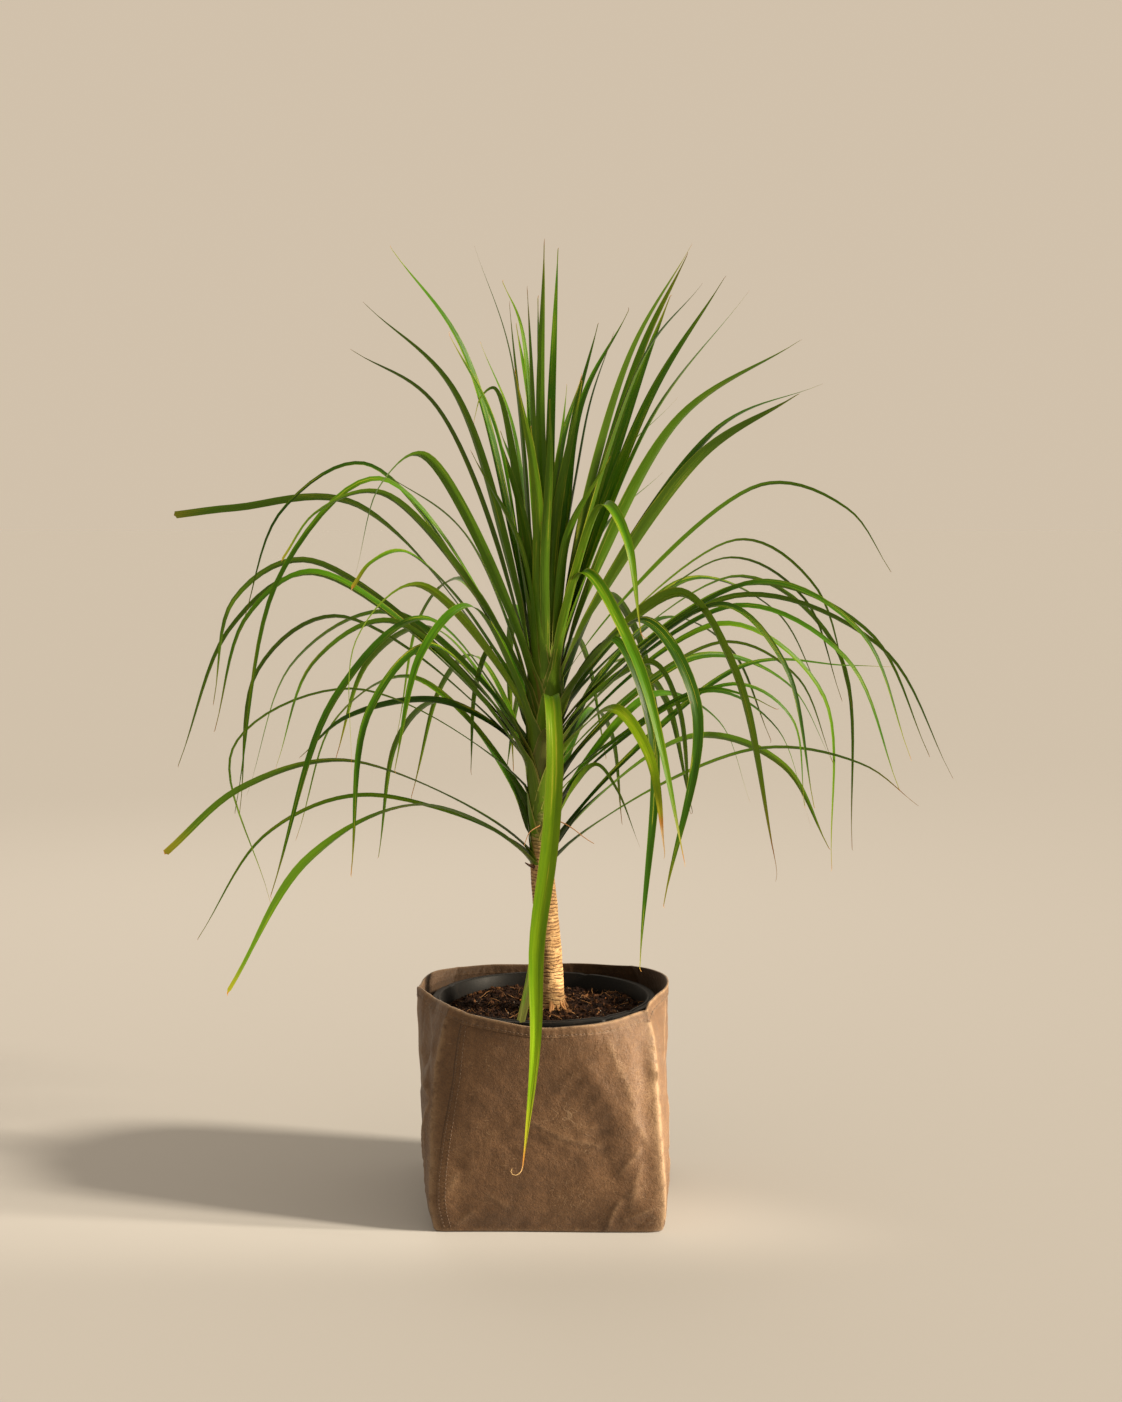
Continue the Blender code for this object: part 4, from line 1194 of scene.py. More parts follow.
@dataclass
class LeafRule:
    """The seeded rule of the crown: the leaves that no row names, and how every blade turns and ages."""

    seed: int = 41
    golden_turn: float = 0.381966
    far_count: int = 26
    far_middle: float = 90.0
    far_spread: float = 132.0
    far_roots: Pair = (0.355, 0.545)
    far_reach: Pair = (0.88, 1.08)
    far_standing: float = 0.68
    far_tips_up: Pair = (0.7, 0.9)
    far_tips_out: Pair = (0.26, 0.1)
    far_tip_play: Pair = (-0.02, 0.03)
    far_bend: Pair = (0.45, 0.72)
    far_crest_out: float = 0.175
    far_crest_rise: Pair = (0.115, 0.175)
    far_crest_play: float = 0.01
    far_hang_out: float = 0.18
    far_drop: Pair = (0.11, 0.21)
    far_width: Pair = (0.008, 0.012)
    far_sway: float = 0.03
    near_count: int = 8
    near_middle: float = 270.0
    near_spread: float = 110.0
    near_roots: Pair = (0.485, 0.545)
    near_tips_up: Pair = (0.72, 0.84)
    near_tips_out: Pair = (0.05, 0.11)
    near_bend: Pair = (0.35, 0.62)
    near_width: Pair = (0.009, 0.012)
    near_sway: float = 0.01
    roll_in_plane: float = 48.0
    roll_fall: float = 0.4
    roll_draw: Pair = (0.75, 1.2)
    lowest_root: float = 0.345
    roots_span: float = 0.21
    tone_draw: Pair = (0.1, 0.54)
    tone_age: float = 0.1
    dry_draw: Pair = (-0.06, 0.0)
    dry_age: float = 0.04
    most_curl: float = 1.2
    slimness: tuple[tuple[LeafGroup, float], ...] = (
        (LeafGroup.RIGHT, 0.8), (LeafGroup.LEFT, 0.84), (LeafGroup.FAR, 0.88), (LeafGroup.UPRIGHT, 0.94),
    )

    def far_leaf(self, number: int, draw: random.Random) -> Leaf:
        """One leaf of the far side: past the standing rank it stands, below it it hangs.

        Args:
            number: Its number, the lowest first.
            draw: The crown's random draw.

        Returns:
            The leaf.
        """
        azimuth = self.far_middle + ((number * self.golden_turn) % 1.0 - 0.5) * self.far_spread
        rank = number / (self.far_count - 1)
        root = between(self.far_roots, rank)
        reach = draw.uniform(*self.far_reach)
        if rank > self.far_standing:
            share = (rank - self.far_standing) / (1.0 - self.far_standing)
            tip_up = between(self.far_tips_up, share) + draw.uniform(*self.far_tip_play)
            tip = (between(self.far_tips_out, share) * reach, tip_up)
            bend = (tip[0] * self.far_bend[0], between((root, tip[1]), self.far_bend[1]))
        else:
            play = draw.uniform(-self.far_crest_play, self.far_crest_play)
            rise = between(self.far_crest_rise, rank) + play
            bend = (self.far_crest_out * reach, root + rise)
            tip = (bend[0] + self.far_hang_out * reach, bend[1] - draw.uniform(*self.far_drop))
        width = draw.uniform(*self.far_width)
        return Leaf(azimuth, root, width, bend, tip, sway=draw.uniform(-self.far_sway, self.far_sway))

    def near_leaf(self, number: int, draw: random.Random) -> Leaf:
        """One upright leaf of the near side.

        Args:
            number: Its number, the lowest first.
            draw: The crown's random draw.

        Returns:
            The leaf.
        """
        azimuth = self.near_middle + ((number * self.golden_turn) % 1.0 - 0.5) * self.near_spread
        root = between(self.near_roots, number / (self.near_count - 1))
        tip = (draw.uniform(*self.near_tips_out), draw.uniform(*self.near_tips_up))
        bend = (tip[0] * self.near_bend[0], between((root, tip[1]), self.near_bend[1]))
        width = draw.uniform(*self.near_width)
        return Leaf(azimuth, root, width, bend, tip, sway=draw.uniform(-self.near_sway, self.near_sway))

    def settled(self, leaf: Leaf, draw: random.Random, look: random.Random) -> Leaf:
        """The leaf with what its row leaves open: an edge-on blade turns to the front, a low leaf is old.

        Args:
            leaf: The leaf.
            draw: The draw of its roll.
            look: The draw of its tone, its dry share and its curl.

        Returns:
            The leaf as it grows.
        """
        aside = abs(degrees(asin(sin(radians(leaf.azimuth)))))
        turn = (self.roll_in_plane - self.roll_fall * aside) * draw.uniform(*self.roll_draw)
        age = 1.0 - (leaf.root - self.lowest_root) / self.roots_span
        drawn = {
            "roll": turn * draw.choice((-1.0, 1.0)),
            "tone": look.uniform(*self.tone_draw) + self.tone_age * age,
            "dry": look.uniform(*self.dry_draw) + self.dry_age * age * look.random(),
            "curl": look.uniform(-self.most_curl, self.most_curl),
        }
        return replace(leaf, **{name: value for name, value in drawn.items() if getattr(leaf, name) is None})

    def all_leaves(self) -> dict[LeafGroup, list[Leaf]]:
        """Every leaf of the crown by its bunch, with its roll, tone, dry share and curl.

        Returns:
            The leaves of each bunch.
        """
        draw, look = random.Random(self.seed), random.Random(self.seed + 1)
        groups = [(group, leaf) for group, leaves in LEAVES.items() for leaf in leaves]
        groups += [(LeafGroup.FAR, self.far_leaf(number, draw)) for number in range(self.far_count)]
        groups += [(LeafGroup.NEAR, self.near_leaf(number, draw)) for number in range(self.near_count)]
        made: dict[LeafGroup, list[Leaf]] = {group: [] for group in LeafGroup}
        slim = dict(self.slimness)
        for group, leaf in groups:
            slimmed = replace(leaf, scale=leaf.scale * slim.get(group, 1.0))
            made[group].append(self.settled(slimmed, draw, look))
        return made


@dataclass
class Crown:
    """The crown: every leaf is a channelled blade on its solid's midrib, with a clasping sheath."""

    cane: Cane
    rule: LeafRule = field(default_factory=LeafRule)
    sheath_width: float = 0.0125
    root_depth_share: float = 0.62
    root_least_radius: float = 0.0112
    base_lean: float = 0.002
    base_rise: float = 0.04
    shoulder_out: float = 0.67
    shoulder_drop: float = 0.28
    sheath_share: float = 0.08
    neck_width: float = 0.8
    full_share: float = 0.4
    taper_power: float = 2.2
    tip_width: float = 0.0009
    twist_share: float = 0.35
    sheath_length: float = 0.046
    sheath_spread: float = 1.75
    sheath_thickness: float = 0.0055
    base_full: Pair = (0.0085, 0.004)
    base_fade: float = 0.13
    fade_run: float = 0.05
    stations: int = 34
    cup_foot: float = 0.62
    cup_limits: Pair = (0.16, 0.46)
    blade_thickness: float = 0.085
    thread_length: Pair = (0.002, 0.007)
    across_steps: int = 7
    sheath_steps: int = 8
    thread_steps: int = 7
    bow_at: Pair = (0.28, 0.13)
    lean_at: Pair = (0.61, 0.14)
    wander: Pair = (0.001, 0.003)

    def profile(self) -> Piece:
        """The blade's flat cross-section, one unit to each side, with a keel below.

        Returns:
            An object of edges, which keeps how far across and how high each point is.
        """
        across = np.linspace(-1.0, 1.0, self.across_steps)
        half = self.blade_thickness / 2.0 * (1.0 - 0.75 * across ** 2)
        keel = 0.06 * np.exp(-((across / 0.2) ** 2))
        under = np.stack((half + keel, across), axis=-1)
        over = np.stack((0.4 * keel - half, across), axis=-1)[-2:0:-1]
        flat = np.concatenate((under, over))
        lift = np.concatenate((half, -half[-2:0:-1]))
        count = len(flat)
        mesh = bpy.data.meshes.new("blade_profile")
        points = [(float(x), float(y), 0.0) for x, y in flat]
        mesh.from_pydata(points, [(at, (at + 1) % count) for at in range(count)], [])
        store_values(mesh, {"across": flat[:, 1], "lift": lift})
        return link("blade_profile", mesh)

    def midrib(self, leaf: Leaf) -> Array:
        """The leaf's line in its own plane, from the root to the tip.

        Args:
            leaf: The leaf.

        Returns:
            Close-set points as (out, height).
        """
        core = float(self.cane.column(leaf.root))
        start = max(self.root_least_radius, core * self.root_depth_share)
        points = [(start, leaf.root), leaf.bend]
        drop = leaf.bend[1] - leaf.tip[1]
        if drop > 0.0:
            out = between((leaf.bend[0], leaf.tip[0]), self.shoulder_out) + leaf.belly
            points.append((out, leaf.bend[1] - drop * self.shoulder_drop))
        points.append(leaf.tip)
        ring = np.array([(start - self.base_lean, leaf.root - self.base_rise), *points, (0.0, 0.0)])
        ring[-1] = 2.0 * ring[-2] - ring[-3]
        curve = []
        for p0, p1, p2, p3 in zip(ring, ring[1:], ring[2:], ring[3:]):
            knot1 = np.linalg.norm(p1 - p0) ** 0.5
            knot2 = knot1 + np.linalg.norm(p2 - p1) ** 0.5
            knot3 = knot2 + np.linalg.norm(p3 - p2) ** 0.5
            at = (knot1 + (knot2 - knot1) * np.arange(24) / 24.0)[:, None]
            a1 = p0 + (p1 - p0) * at / knot1
            a2 = p1 + (p2 - p1) * (at - knot1) / (knot2 - knot1)
            a3 = p2 + (p3 - p2) * (at - knot2) / (knot3 - knot2)
            b1 = a1 + (a2 - a1) * at / knot2
            b2 = a2 + (a3 - a2) * (at - knot1) / (knot3 - knot1)
            curve.append(b1 + (b2 - b1) * (at - knot1) / (knot2 - knot1))
        curve.append(ring[-2][None, :])
        return np.concatenate(curve)

    def width(self, leaf: Leaf, share: Array) -> Array:
        """Width at a share of the length: a sheath, a narrow neck, a full middle and a long point.

        Args:
            leaf: The leaf.
            share: Shares of the length.

        Returns:
            The widths.
        """
        low = between((self.sheath_width, leaf.width * self.neck_width), share / self.sheath_share)
        swell = np.sin((share - self.sheath_share) / (self.full_share - self.sheath_share) * pi / 2.0)
        middle = leaf.width * between((self.neck_width, 1.0), swell)
        fall = np.clip((share - self.full_share) / (1.0 - self.full_share), 0.0, 1.0)
        end = max(self.tip_width, leaf.blunt * leaf.width)
        high = np.maximum(leaf.width * (1.0 - fall ** self.taper_power), end)
        wide = np.where(share < self.sheath_share, low, np.where(share < self.full_share, middle, high))
        full = between(self.base_full, eased((leaf.root - 0.43) / 0.09))
        return leaf.scale * wide + full * (1.0 - eased(share / self.base_fade))

    def line(self, leaf: Leaf, draw: random.Random) -> Stations:
        """Everything that the leaf's recipe reads at each station from the sheath's foot to the tip's thread.

        Args:
            leaf: The leaf.
            draw: The crown's random draw.

        Returns:
            Arrays by name, one row for each station.
        """
        curve = self.midrib(leaf)
        length = np.concatenate(([0.0], np.cumsum(np.linalg.norm(np.diff(curve, axis=0), axis=1))))
        clear = curve[:, 0] > self.cane.column(curve[:, 1]) + 0.0004
        leaving = int(np.argmax(clear))
        foot = max(leaf.root - self.sheath_length, self.cane.neck_height + 0.002)
        gone = curve[leaving, 1]
        steps = np.arange(self.sheath_steps) / self.sheath_steps
        hug_height = foot + (gone - foot) * steps
        hug = self.cane.column(hug_height) - self.cane.core_depth * (1.0 - steps) ** 0.8
        run = length[leaving:] - length[leaving]
        heading = np.arctan2(*np.gradient(curve[leaving:], axis=0).T)
        bend = np.concatenate(([0.0], np.cumsum(np.abs(np.diff(np.unwrap(heading))))))
        cost = run + 0.05 * bend
        target = cost[-1] * (np.arange(self.stations) / (self.stations - 1)) ** 1.06
        free = [np.interp(target, cost, curve[leaving:, axis]) for axis in (0, 1)]
        share = np.interp(target, cost, length[leaving:]) / length[-1]
        out = np.concatenate((hug, free[0]))
        height = np.concatenate((hug_height, free[1]))
        share = np.concatenate((np.full(len(hug), share[0]), share))
        beyond = np.concatenate((np.zeros(len(hug)), np.interp(target, cost, run)))
        clasp = 1.0 - eased(beyond / self.fade_run)
        half = self.width(leaf, share) / 2.0
        spread = half / out
        spread[:len(hug)] = between((self.sheath_spread, spread[len(hug)]), steps ** 0.85)
        angle = radians(leaf.azimuth)
        outward = np.array((cos(angle), sin(angle), 0.0))
        aside = np.array((-sin(angle), cos(angle), 0.0))
        wander = draw.uniform(*self.wander) * np.sin(share * draw.uniform(4.0, 9.0) + draw.uniform(0.0, 6.0))
        sway = leaf.sway * share ** 2 + wander * eased((share - 0.15) / 0.4)
        for size, (middle, reach) in ((leaf.bow, self.bow_at), (leaf.lean, self.lean_at)):
            sway = sway + size * np.exp(-(((share - middle) / reach) ** 2))
        axis_x = np.where(clasp >= 1.0, self.cane.axis_x(height), self.cane.axis_x(leaf.root))
        centre = outward * out[:, None] + aside * sway[:, None]
        centre += np.stack((axis_x, np.zeros(len(out)), height), axis=-1)
        twist = radians(leaf.roll) * eased((share - 0.04) / self.twist_share)
        loose = draw.uniform(-0.9, 0.9) * np.clip(share - 0.35, 0.0, 1.0) ** 1.3
        twist += loose if leaf.twist is None else radians(leaf.twist) * eased((share - 0.3) / 0.45)
        facing, tangent = self.facings(centre, aside, twist)
        hollow = draw.uniform(*self.cup_limits)
        cup = between((self.cup_foot, hollow), eased(share / 0.3)) * (1.0 - 0.5 * eased((share - 0.6) / 0.4))
        rows = {
            "position": centre, "facing": facing, "half": half, "along": share, "clasp": clasp,
            "spread": spread, "reach": out, "axis_x": axis_x, "height": height, "cup": cup,
        }
        length = draw.uniform(*self.thread_length) if leaf.thread is None else leaf.thread
        return self.with_thread(rows, leaf, tangent[-1], length)

    def facings(self, centre: Array, aside: Array, twist: Array) -> tuple[Array, Array]:
        """The way that the blade's underside faces, and its tangent, at each station.

        Args:
            centre: The midrib.
            aside: The way across the leaf's plane.
            twist: How far the blade turns about the midrib, in radians.

        Returns:
            Both, one row for each station.
        """
        tangent = np.gradient(centre, axis=0)
        tangent /= np.linalg.norm(tangent, axis=1)[:, None]
        side = aside - tangent * (tangent @ aside)[:, None]
        side /= np.linalg.norm(side, axis=1)[:, None]
        turned = side * np.cos(twist)[:, None] + np.cross(tangent, side) * np.sin(twist)[:, None]
        return np.cross(turned, tangent), tangent

    def with_thread(self, rows: Stations, leaf: Leaf, tangent: Array, length: float) -> Stations:
        """Add the dry thread that the tip ends in, hooked by the leaf's curl.

        Args:
            rows: The blade's stations.
            leaf: The leaf.
            tangent: The way the tip points.
            length: Length of the thread.

        Returns:
            The stations with the thread's.
        """
        side = np.cross(tangent, rows["facing"][-1])
        place, end = rows["position"][-1], rows["half"][-1]
        for step in range(1, self.thread_steps + 1):
            share = step / self.thread_steps
            turn = leaf.curl * share ** 2
            place = place + (tangent * cos(turn) + side * sin(turn)) * length / self.thread_steps
            thin = max(0.00016, end * (1.0 - share ** 0.6))
            rows["position"] = np.concatenate((rows["position"], place[None, :]))
            rows["half"] = np.append(rows["half"], thin if leaf.blunt else between((end, 0.00018), share))
            rows["along"] = np.append(rows["along"], 1.0 + 0.01 * step)
            for name in ("clasp", "spread", "reach", "axis_x", "height", "cup"):
                rows[name] = np.append(rows[name], 0.0 if name == "clasp" else rows[name][-1])
            rows["facing"] = np.concatenate((rows["facing"], rows["facing"][-1:]))
        return rows

    def build(self, recipe: LeafRecipe, material: Material) -> list[Piece]:
        """Sweep every leaf, one piece for each bunch.

        Args:
            recipe: The recipe that sweeps a blade.
            material: The leaf's finish.

        Returns:
            The pieces.
        """
        profile = self.profile()
        draw = random.Random(self.rule.seed + 2)
        pieces = []
        for group, leaves in self.rule.all_leaves().items():
            lines = []
            for leaf in leaves:
                rows = self.line(leaf, draw)
                count = len(rows["half"])
                rows["azimuth"] = np.full(count, radians(leaf.azimuth))
                rows |= {name: np.full(count, getattr(leaf, name)) for name in ("tone", "dry", "fade")}
                lines.append(rows)
            base = line_mesh(group.value, lines)
            values = {"Profile": profile, "Sheath Thickness": self.sheath_thickness, "Finish": material}
            pieces.append(recipe.run(base, group.value, values))
        bpy.data.objects.remove(profile)
        return pieces


@dataclass
class Pot:
    """The black nursery pot: a thin tapered shell with a flat rim, a skirt, notches and drain holes."""

    x: float = -0.0035
    base: float = 0.0023
    wall: float = 0.0015
    floor: float = 0.002
    base_radius: float = 0.078
    rim_height: float = 0.208
    rim_radius: float = 0.1135
    mouth_radius: float = 0.1045
    skirt: float = 0.01
    foot_chamfer: float = 0.003
    lip_round: float = 0.0011
    sides: int = 192
    drain_holes: int = 8
    drain_radius: float = 0.006
    drain_circle: float = 0.06
    drain_cut: float = 0.012
    notches: tuple[float, ...] = (-0.98, -0.62, 1.15, 2.7, 3.95)
    notch_width: float = 0.045
    notch_depth: float = 0.0011

    def inner_radius(self, height: float) -> float:
        """Radius of the tapered inner wall."""
        low = self.base + self.floor
        share = (height - low) / (self.rim_height - low)
        return between((self.base_radius - self.wall, self.mouth_radius), share)

    def outline(self) -> list[Pair]:
        """The turned outline, out along the foot, up the wall, over the rim and down inside.

        Returns:
            Points as (radius, height).
        """
        top, lip, low = self.rim_height, self.lip_round, self.base
        foot, mouth, rim = self.base_radius, self.mouth_radius, self.rim_radius
        under, shoulder, wall_top = top - self.wall, low + self.foot_chamfer, mouth + self.wall
        points = [(0.001, low), (0.04, low), (foot - self.foot_chamfer, low)]
        points += [(foot - 0.0008, low + self.foot_chamfer * 0.45), (foot, shoulder)]
        for step in range(1, 6):
            points.append((between((foot, wall_top), step / 6.0), between((shoulder, under), step / 6.0)))
        points += [(wall_top, under), (rim - self.wall, under), (rim - self.wall, top - self.skirt)]
        points += [(rim, top - self.skirt), (rim, top - lip)]
        for step in range(1, 5):
            turn = step / 4.0 * pi / 2.0
            points.append((rim - lip + lip * cos(turn), top - lip + lip * sin(turn)))
        points += [(mouth + 0.0034, top), (mouth + 0.0028, top + 0.0006), (mouth + 0.001, top + 0.0006)]
        points += [(mouth, top - 0.0006)]
        for step in range(1, 13):
            height = between((top, low + self.floor), step / 12.0)
            points.append((self.inner_radius(height), height))
        return points + [(foot - 0.01, low + self.floor), (0.001, low + self.floor)]

    def build(self) -> Piece:
        """The pot, with its notches pressed into the rim and its drain holes cut.

        Returns:
            The piece.
        """
        radius, height = (np.array(part)[:, None] for part in zip(*self.outline()))
        angle = once_round(self.sides)
        pressed = np.zeros(angle.shape)
        for notch in self.notches:
            away = np.abs(angle_from(angle, notch)) / self.notch_width
            pressed = np.maximum(pressed, eased(2.0 - 2.0 * away))
        on_rim = (height > self.rim_height - 0.0008) & (radius < self.rim_radius)
        level = height - on_rim * pressed * self.notch_depth
        wobble = 0.00022 * ripples(angle, height, 31, 6, 3, (0.2, 0.6)) * eased((height - 0.1) / 0.1)
        out = np.where(radius > 0.002, radius + wobble, radius)
        rows = np.stack((self.x + out * np.cos(angle), out * np.sin(angle), level + 0.0 * angle), axis=-1)
        pot = ring_mesh("nursery_pot_body", rows)
        smooth(pot, 38.0)
        cutter = self.drain_cutter()
        cut = pot.modifiers.new("Drain holes", "BOOLEAN")
        cut.operation = "DIFFERENCE"
        cut.object = cutter
        mesh = evaluated(pot)
        pot.modifiers.clear()
        pot.data = mesh
        bpy.data.objects.remove(cutter)
        return pot

    def drain_cutter(self) -> Piece:
        """The cutter of all the drain holes.

        Returns:
            The cutter.
        """
        build = bmesh.new()
        for number in range(self.drain_holes):
            angle = FULL_TURN * (number + 0.5) / self.drain_holes
            place = Vector((cos(angle), sin(angle), 0.0)) * self.drain_circle
            place += Vector((self.x, 0.0, self.base))
            bmesh.ops.create_cone(
                build, cap_ends=True, segments=28, radius1=self.drain_radius, radius2=self.drain_radius,
                depth=self.drain_cut, matrix=Matrix.Translation(place),
            )
        return settle("drain_cutter", build)


@dataclass
class Soil:
    """The potting soil: a lumpy bed, with crumbs, bark, fibres and specks strewn over it."""

    pot: Pot
    cane: Cane
    height: float = 0.1935
    bump: float = 0.0021
    broad_wave: float = 39.0
    small_wave: float = 82.0
    clearance: float = 0.0003
    bare_edge: float = 0.0035
    bare_foot: float = 0.0005
    ground_rings: int = 12
    ground_sides: int = 48
    seed: int = 23

    def level(self, x: Array, y: Array) -> Array:
        """Height of the bed's top, with the same lumps as its solid."""
        lumps = np.sin(self.broad_wave * x) * np.cos(self.broad_wave * y) + np.sin(self.small_wave * (x - y))
        return self.height + self.bump * (lumps + x / self.pot.mouth_radius)

    def crumbled(self, x: float, y: float) -> float:
        """The bed's own crumbs at a place, as a height.

        Args:
            x: X from the pot's middle.
            y: Y from the pot's middle.

        Returns:
            The height.
        """
        place = Vector((x, y, 0.3))
        cells = noise.voronoi(place * 260.0)[0][0]
        relief = 0.0016 * noise.noise(place * 150.0) + 0.0012 * (0.5 - cells)
        return relief + 0.0005 * noise.noise(place * 620.0)

    def build_bed(self) -> Piece:
        """The bed: its crumbly top, the side that the pot holds, and its underside.

        Returns:
            The piece.
        """
        edge = self.pot.inner_radius(self.height) - self.clearance
        foot_height = self.pot.base + self.pot.floor + self.clearance
        foot = self.pot.inner_radius(foot_height) - self.clearance
        angle = once_round(300)
        side, top = np.linspace(foot, edge, 5)[1:], np.linspace(edge, 0.002, 110)[1:]
        radius = np.concatenate(([foot * 0.5, foot], side, top))[:, None]
        x, y = radius * np.cos(angle), radius * np.sin(angle)
        top = self.level(x, y)
        low = np.linspace(foot_height, self.height, 5)[1:]
        z = np.empty(x.shape)
        z[:2] = foot_height
        z[2:6] = low[:, None]
        z[6:] = top[6:]
        inward = eased((edge - radius) / 0.004)
        for row in range(6, len(z)):
            for column in range(z.shape[1]):
                z[row, column] += self.crumbled(x[row, column], y[row, column]) * inward[row, 0]
        z[5] = top[5] - 0.002
        rows = np.stack((x + self.pot.x, y, z), axis=-1)
        tone = 0.35 + 0.12 * ripples(angle, radius, 71, 18, 30, (0.004, 0.03))
        return ring_mesh("soil_bed", rows, values={"tone": np.clip(tone, 0.0, 1.0)})

    def ground(self) -> Piece:
        """A plain copy of the bed's open top, for things to be strewn on.

        Returns:
            The copy.
        """
        edge = self.pot.inner_radius(self.height) - self.bare_edge
        inner = self.cane.flare_radius + self.bare_foot
        build = bmesh.new()
        rings = []
        for step in range(self.ground_rings + 1):
            share = step / self.ground_rings
            radius = between((inner, edge), share)
            lean = (self.cane.foot_x - self.pot.x) * (1.0 - share)
            ring = []
            for side in range(self.ground_sides):
                angle = FULL_TURN * side / self.ground_sides
                x, y = radius * cos(angle) + lean, radius * sin(angle)
                ring.append(build.verts.new((x + self.pot.x, y, float(self.level(x, y)))))
            rings.append(ring)
        for lower, upper in zip(rings, rings[1:]):
            for side in range(self.ground_sides):
                after = (side + 1) % self.ground_sides
                build.faces.new((lower[side], upper[side], upper[after], lower[after]))
        return settle("ground", build)

    def lump(self, name: str, divisions: int, flat: Triple, rough: float) -> Piece:
        """A rough lump of about one unit, as a shape to strew.

        Args:
            name: Name of the shape.
            divisions: How fine it is.
            flat: Its size along each axis.
            rough: How rough it is.

        Returns:
            The shape.
        """
        build = bmesh.new()
        bmesh.ops.create_icosphere(build, subdivisions=divisions, radius=0.5)
        for vertex in build.verts:
            push = 1.0 + rough * noise.noise(vertex.co * 3.1 + Vector((7.0, 2.0, 5.0)))
            vertex.co = Vector(part * size for part, size in zip(vertex.co * push, flat))
        return settle(name, build)

    def fibre(self, name: str) -> Piece:
        """A bent four-sided fibre of about one unit, as a shape to strew.

        Args:
            name: Name of the shape.

        Returns:
            The shape.
        """
        rings = []
        for at in np.linspace(-0.5, 0.5, 7):
            centre = np.array((at, 0.1 * sin(4.0 * at), 0.05 * cos(3.0 * at)))
            thick = 0.018 * (1.0 - 1.2 * at * at)
            turns = once_round(4)[0]
            rings.append([centre + thick * np.array((0.0, cos(turn), sin(turn))) for turn in turns])
        return ring_mesh(name, np.array(rings))

    def strew(self, recipe: ScatterRecipe, materials: dict[str, Material]) -> list[Piece]:
        """Strew the crumbs, chips, fibres and specks.

        Args:
            recipe: The recipe that strews.
            materials: The finishes by name: soil, chip, fibre, pale and orange.

        Returns:
            The pieces.
        """
        shapes = {
            "crumb": self.lump("crumb", 2, (1.0, 0.9, 0.75), 0.75),
            "grain": self.lump("grain", 1, (1.0, 1.0, 0.8), 0.5),
            "chip": self.lump("chip", 2, (1.5, 0.8, 0.28), 0.8),
            "fibre": self.fibre("fibre"),
        }
        plan = (
            ("soil_crumbs", "crumb", "soil", 20000.0, 0.002, 0.0062, 1.0, 0.0006),
            ("soil_grains", "grain", "soil", 110000.0, 0.0007, 0.0023, 1.0, 0.001),
            ("bark_chips", "chip", "chip", 3800.0, 0.0012, 0.0046, 0.45, 0.0014),
            ("soil_fibres", "fibre", "fibre", 9000.0, 0.004, 0.015, 0.24, 0.002),
            ("pale_specks", "grain", "pale", 900.0, 0.0007, 0.0014, 1.0, 0.0018),
            ("orange_specks", "grain", "orange", 500.0, 0.0008, 0.0016, 1.0, 0.0018),
        )
        pieces = []
        for number, (name, shape, finish, density, least, most, tumble, lift) in enumerate(plan):
            values = {
                "Seed": self.seed + 10 * number, "Least Size": least, "Most Size": most, "Tumble": tumble,
                "Lift": lift, "Density": density, "Shape": shapes[shape], "Finish": materials[finish],
            }
            piece = recipe.run(self.ground(), name, values)
            piece.data.shade_flat()
            pieces.append(piece)
        for shape in shapes.values():
            bpy.data.objects.remove(shape)
        return pieces


@dataclass(frozen=True)
class Fold:
    """A crease of the bag's cloth between two places: a ridge, or a valley where its height is negative.

    A place is (degrees round the bag, share of the bag's height). A crisp fold comes to an edge, and bow is
    how far the fold's middle strays aside.
    """

    start: Pair
    end: Pair
    height: float
    width: float
    crisp: bool = True
    bow: float = 0.0
    around: float = 0.12
    upward: float = 0.2145

    def relief(self, angle: Array, share: Array) -> Array:
        """How far the fold lifts the cloth, in metres.

        Args:
            angle: Angles round the bag.
            share: Shares of its height.

        Returns:
            The heights.
        """
        run_x = radians(self.end[0] - self.start[0]) * self.around
        run_y = (self.end[1] - self.start[1]) * self.upward
        length = hypot(run_x, run_y)
        x = angle_from(angle, radians(self.start[0])) * self.around
        y = (share - self.start[1]) * self.upward
        along = (x * run_x + y * run_y) / length ** 2
        aside = (x * run_y - y * run_x) / length + self.bow * np.sin(pi * np.clip(along, 0.0, 1.0))
        away = np.abs(aside) / self.width
        profile = np.exp(-away) if self.crisp else np.exp(-away ** 2)
        ends = eased(along / 0.16) * eased((1.0 - along) / 0.16)
        return self.height * profile * ends


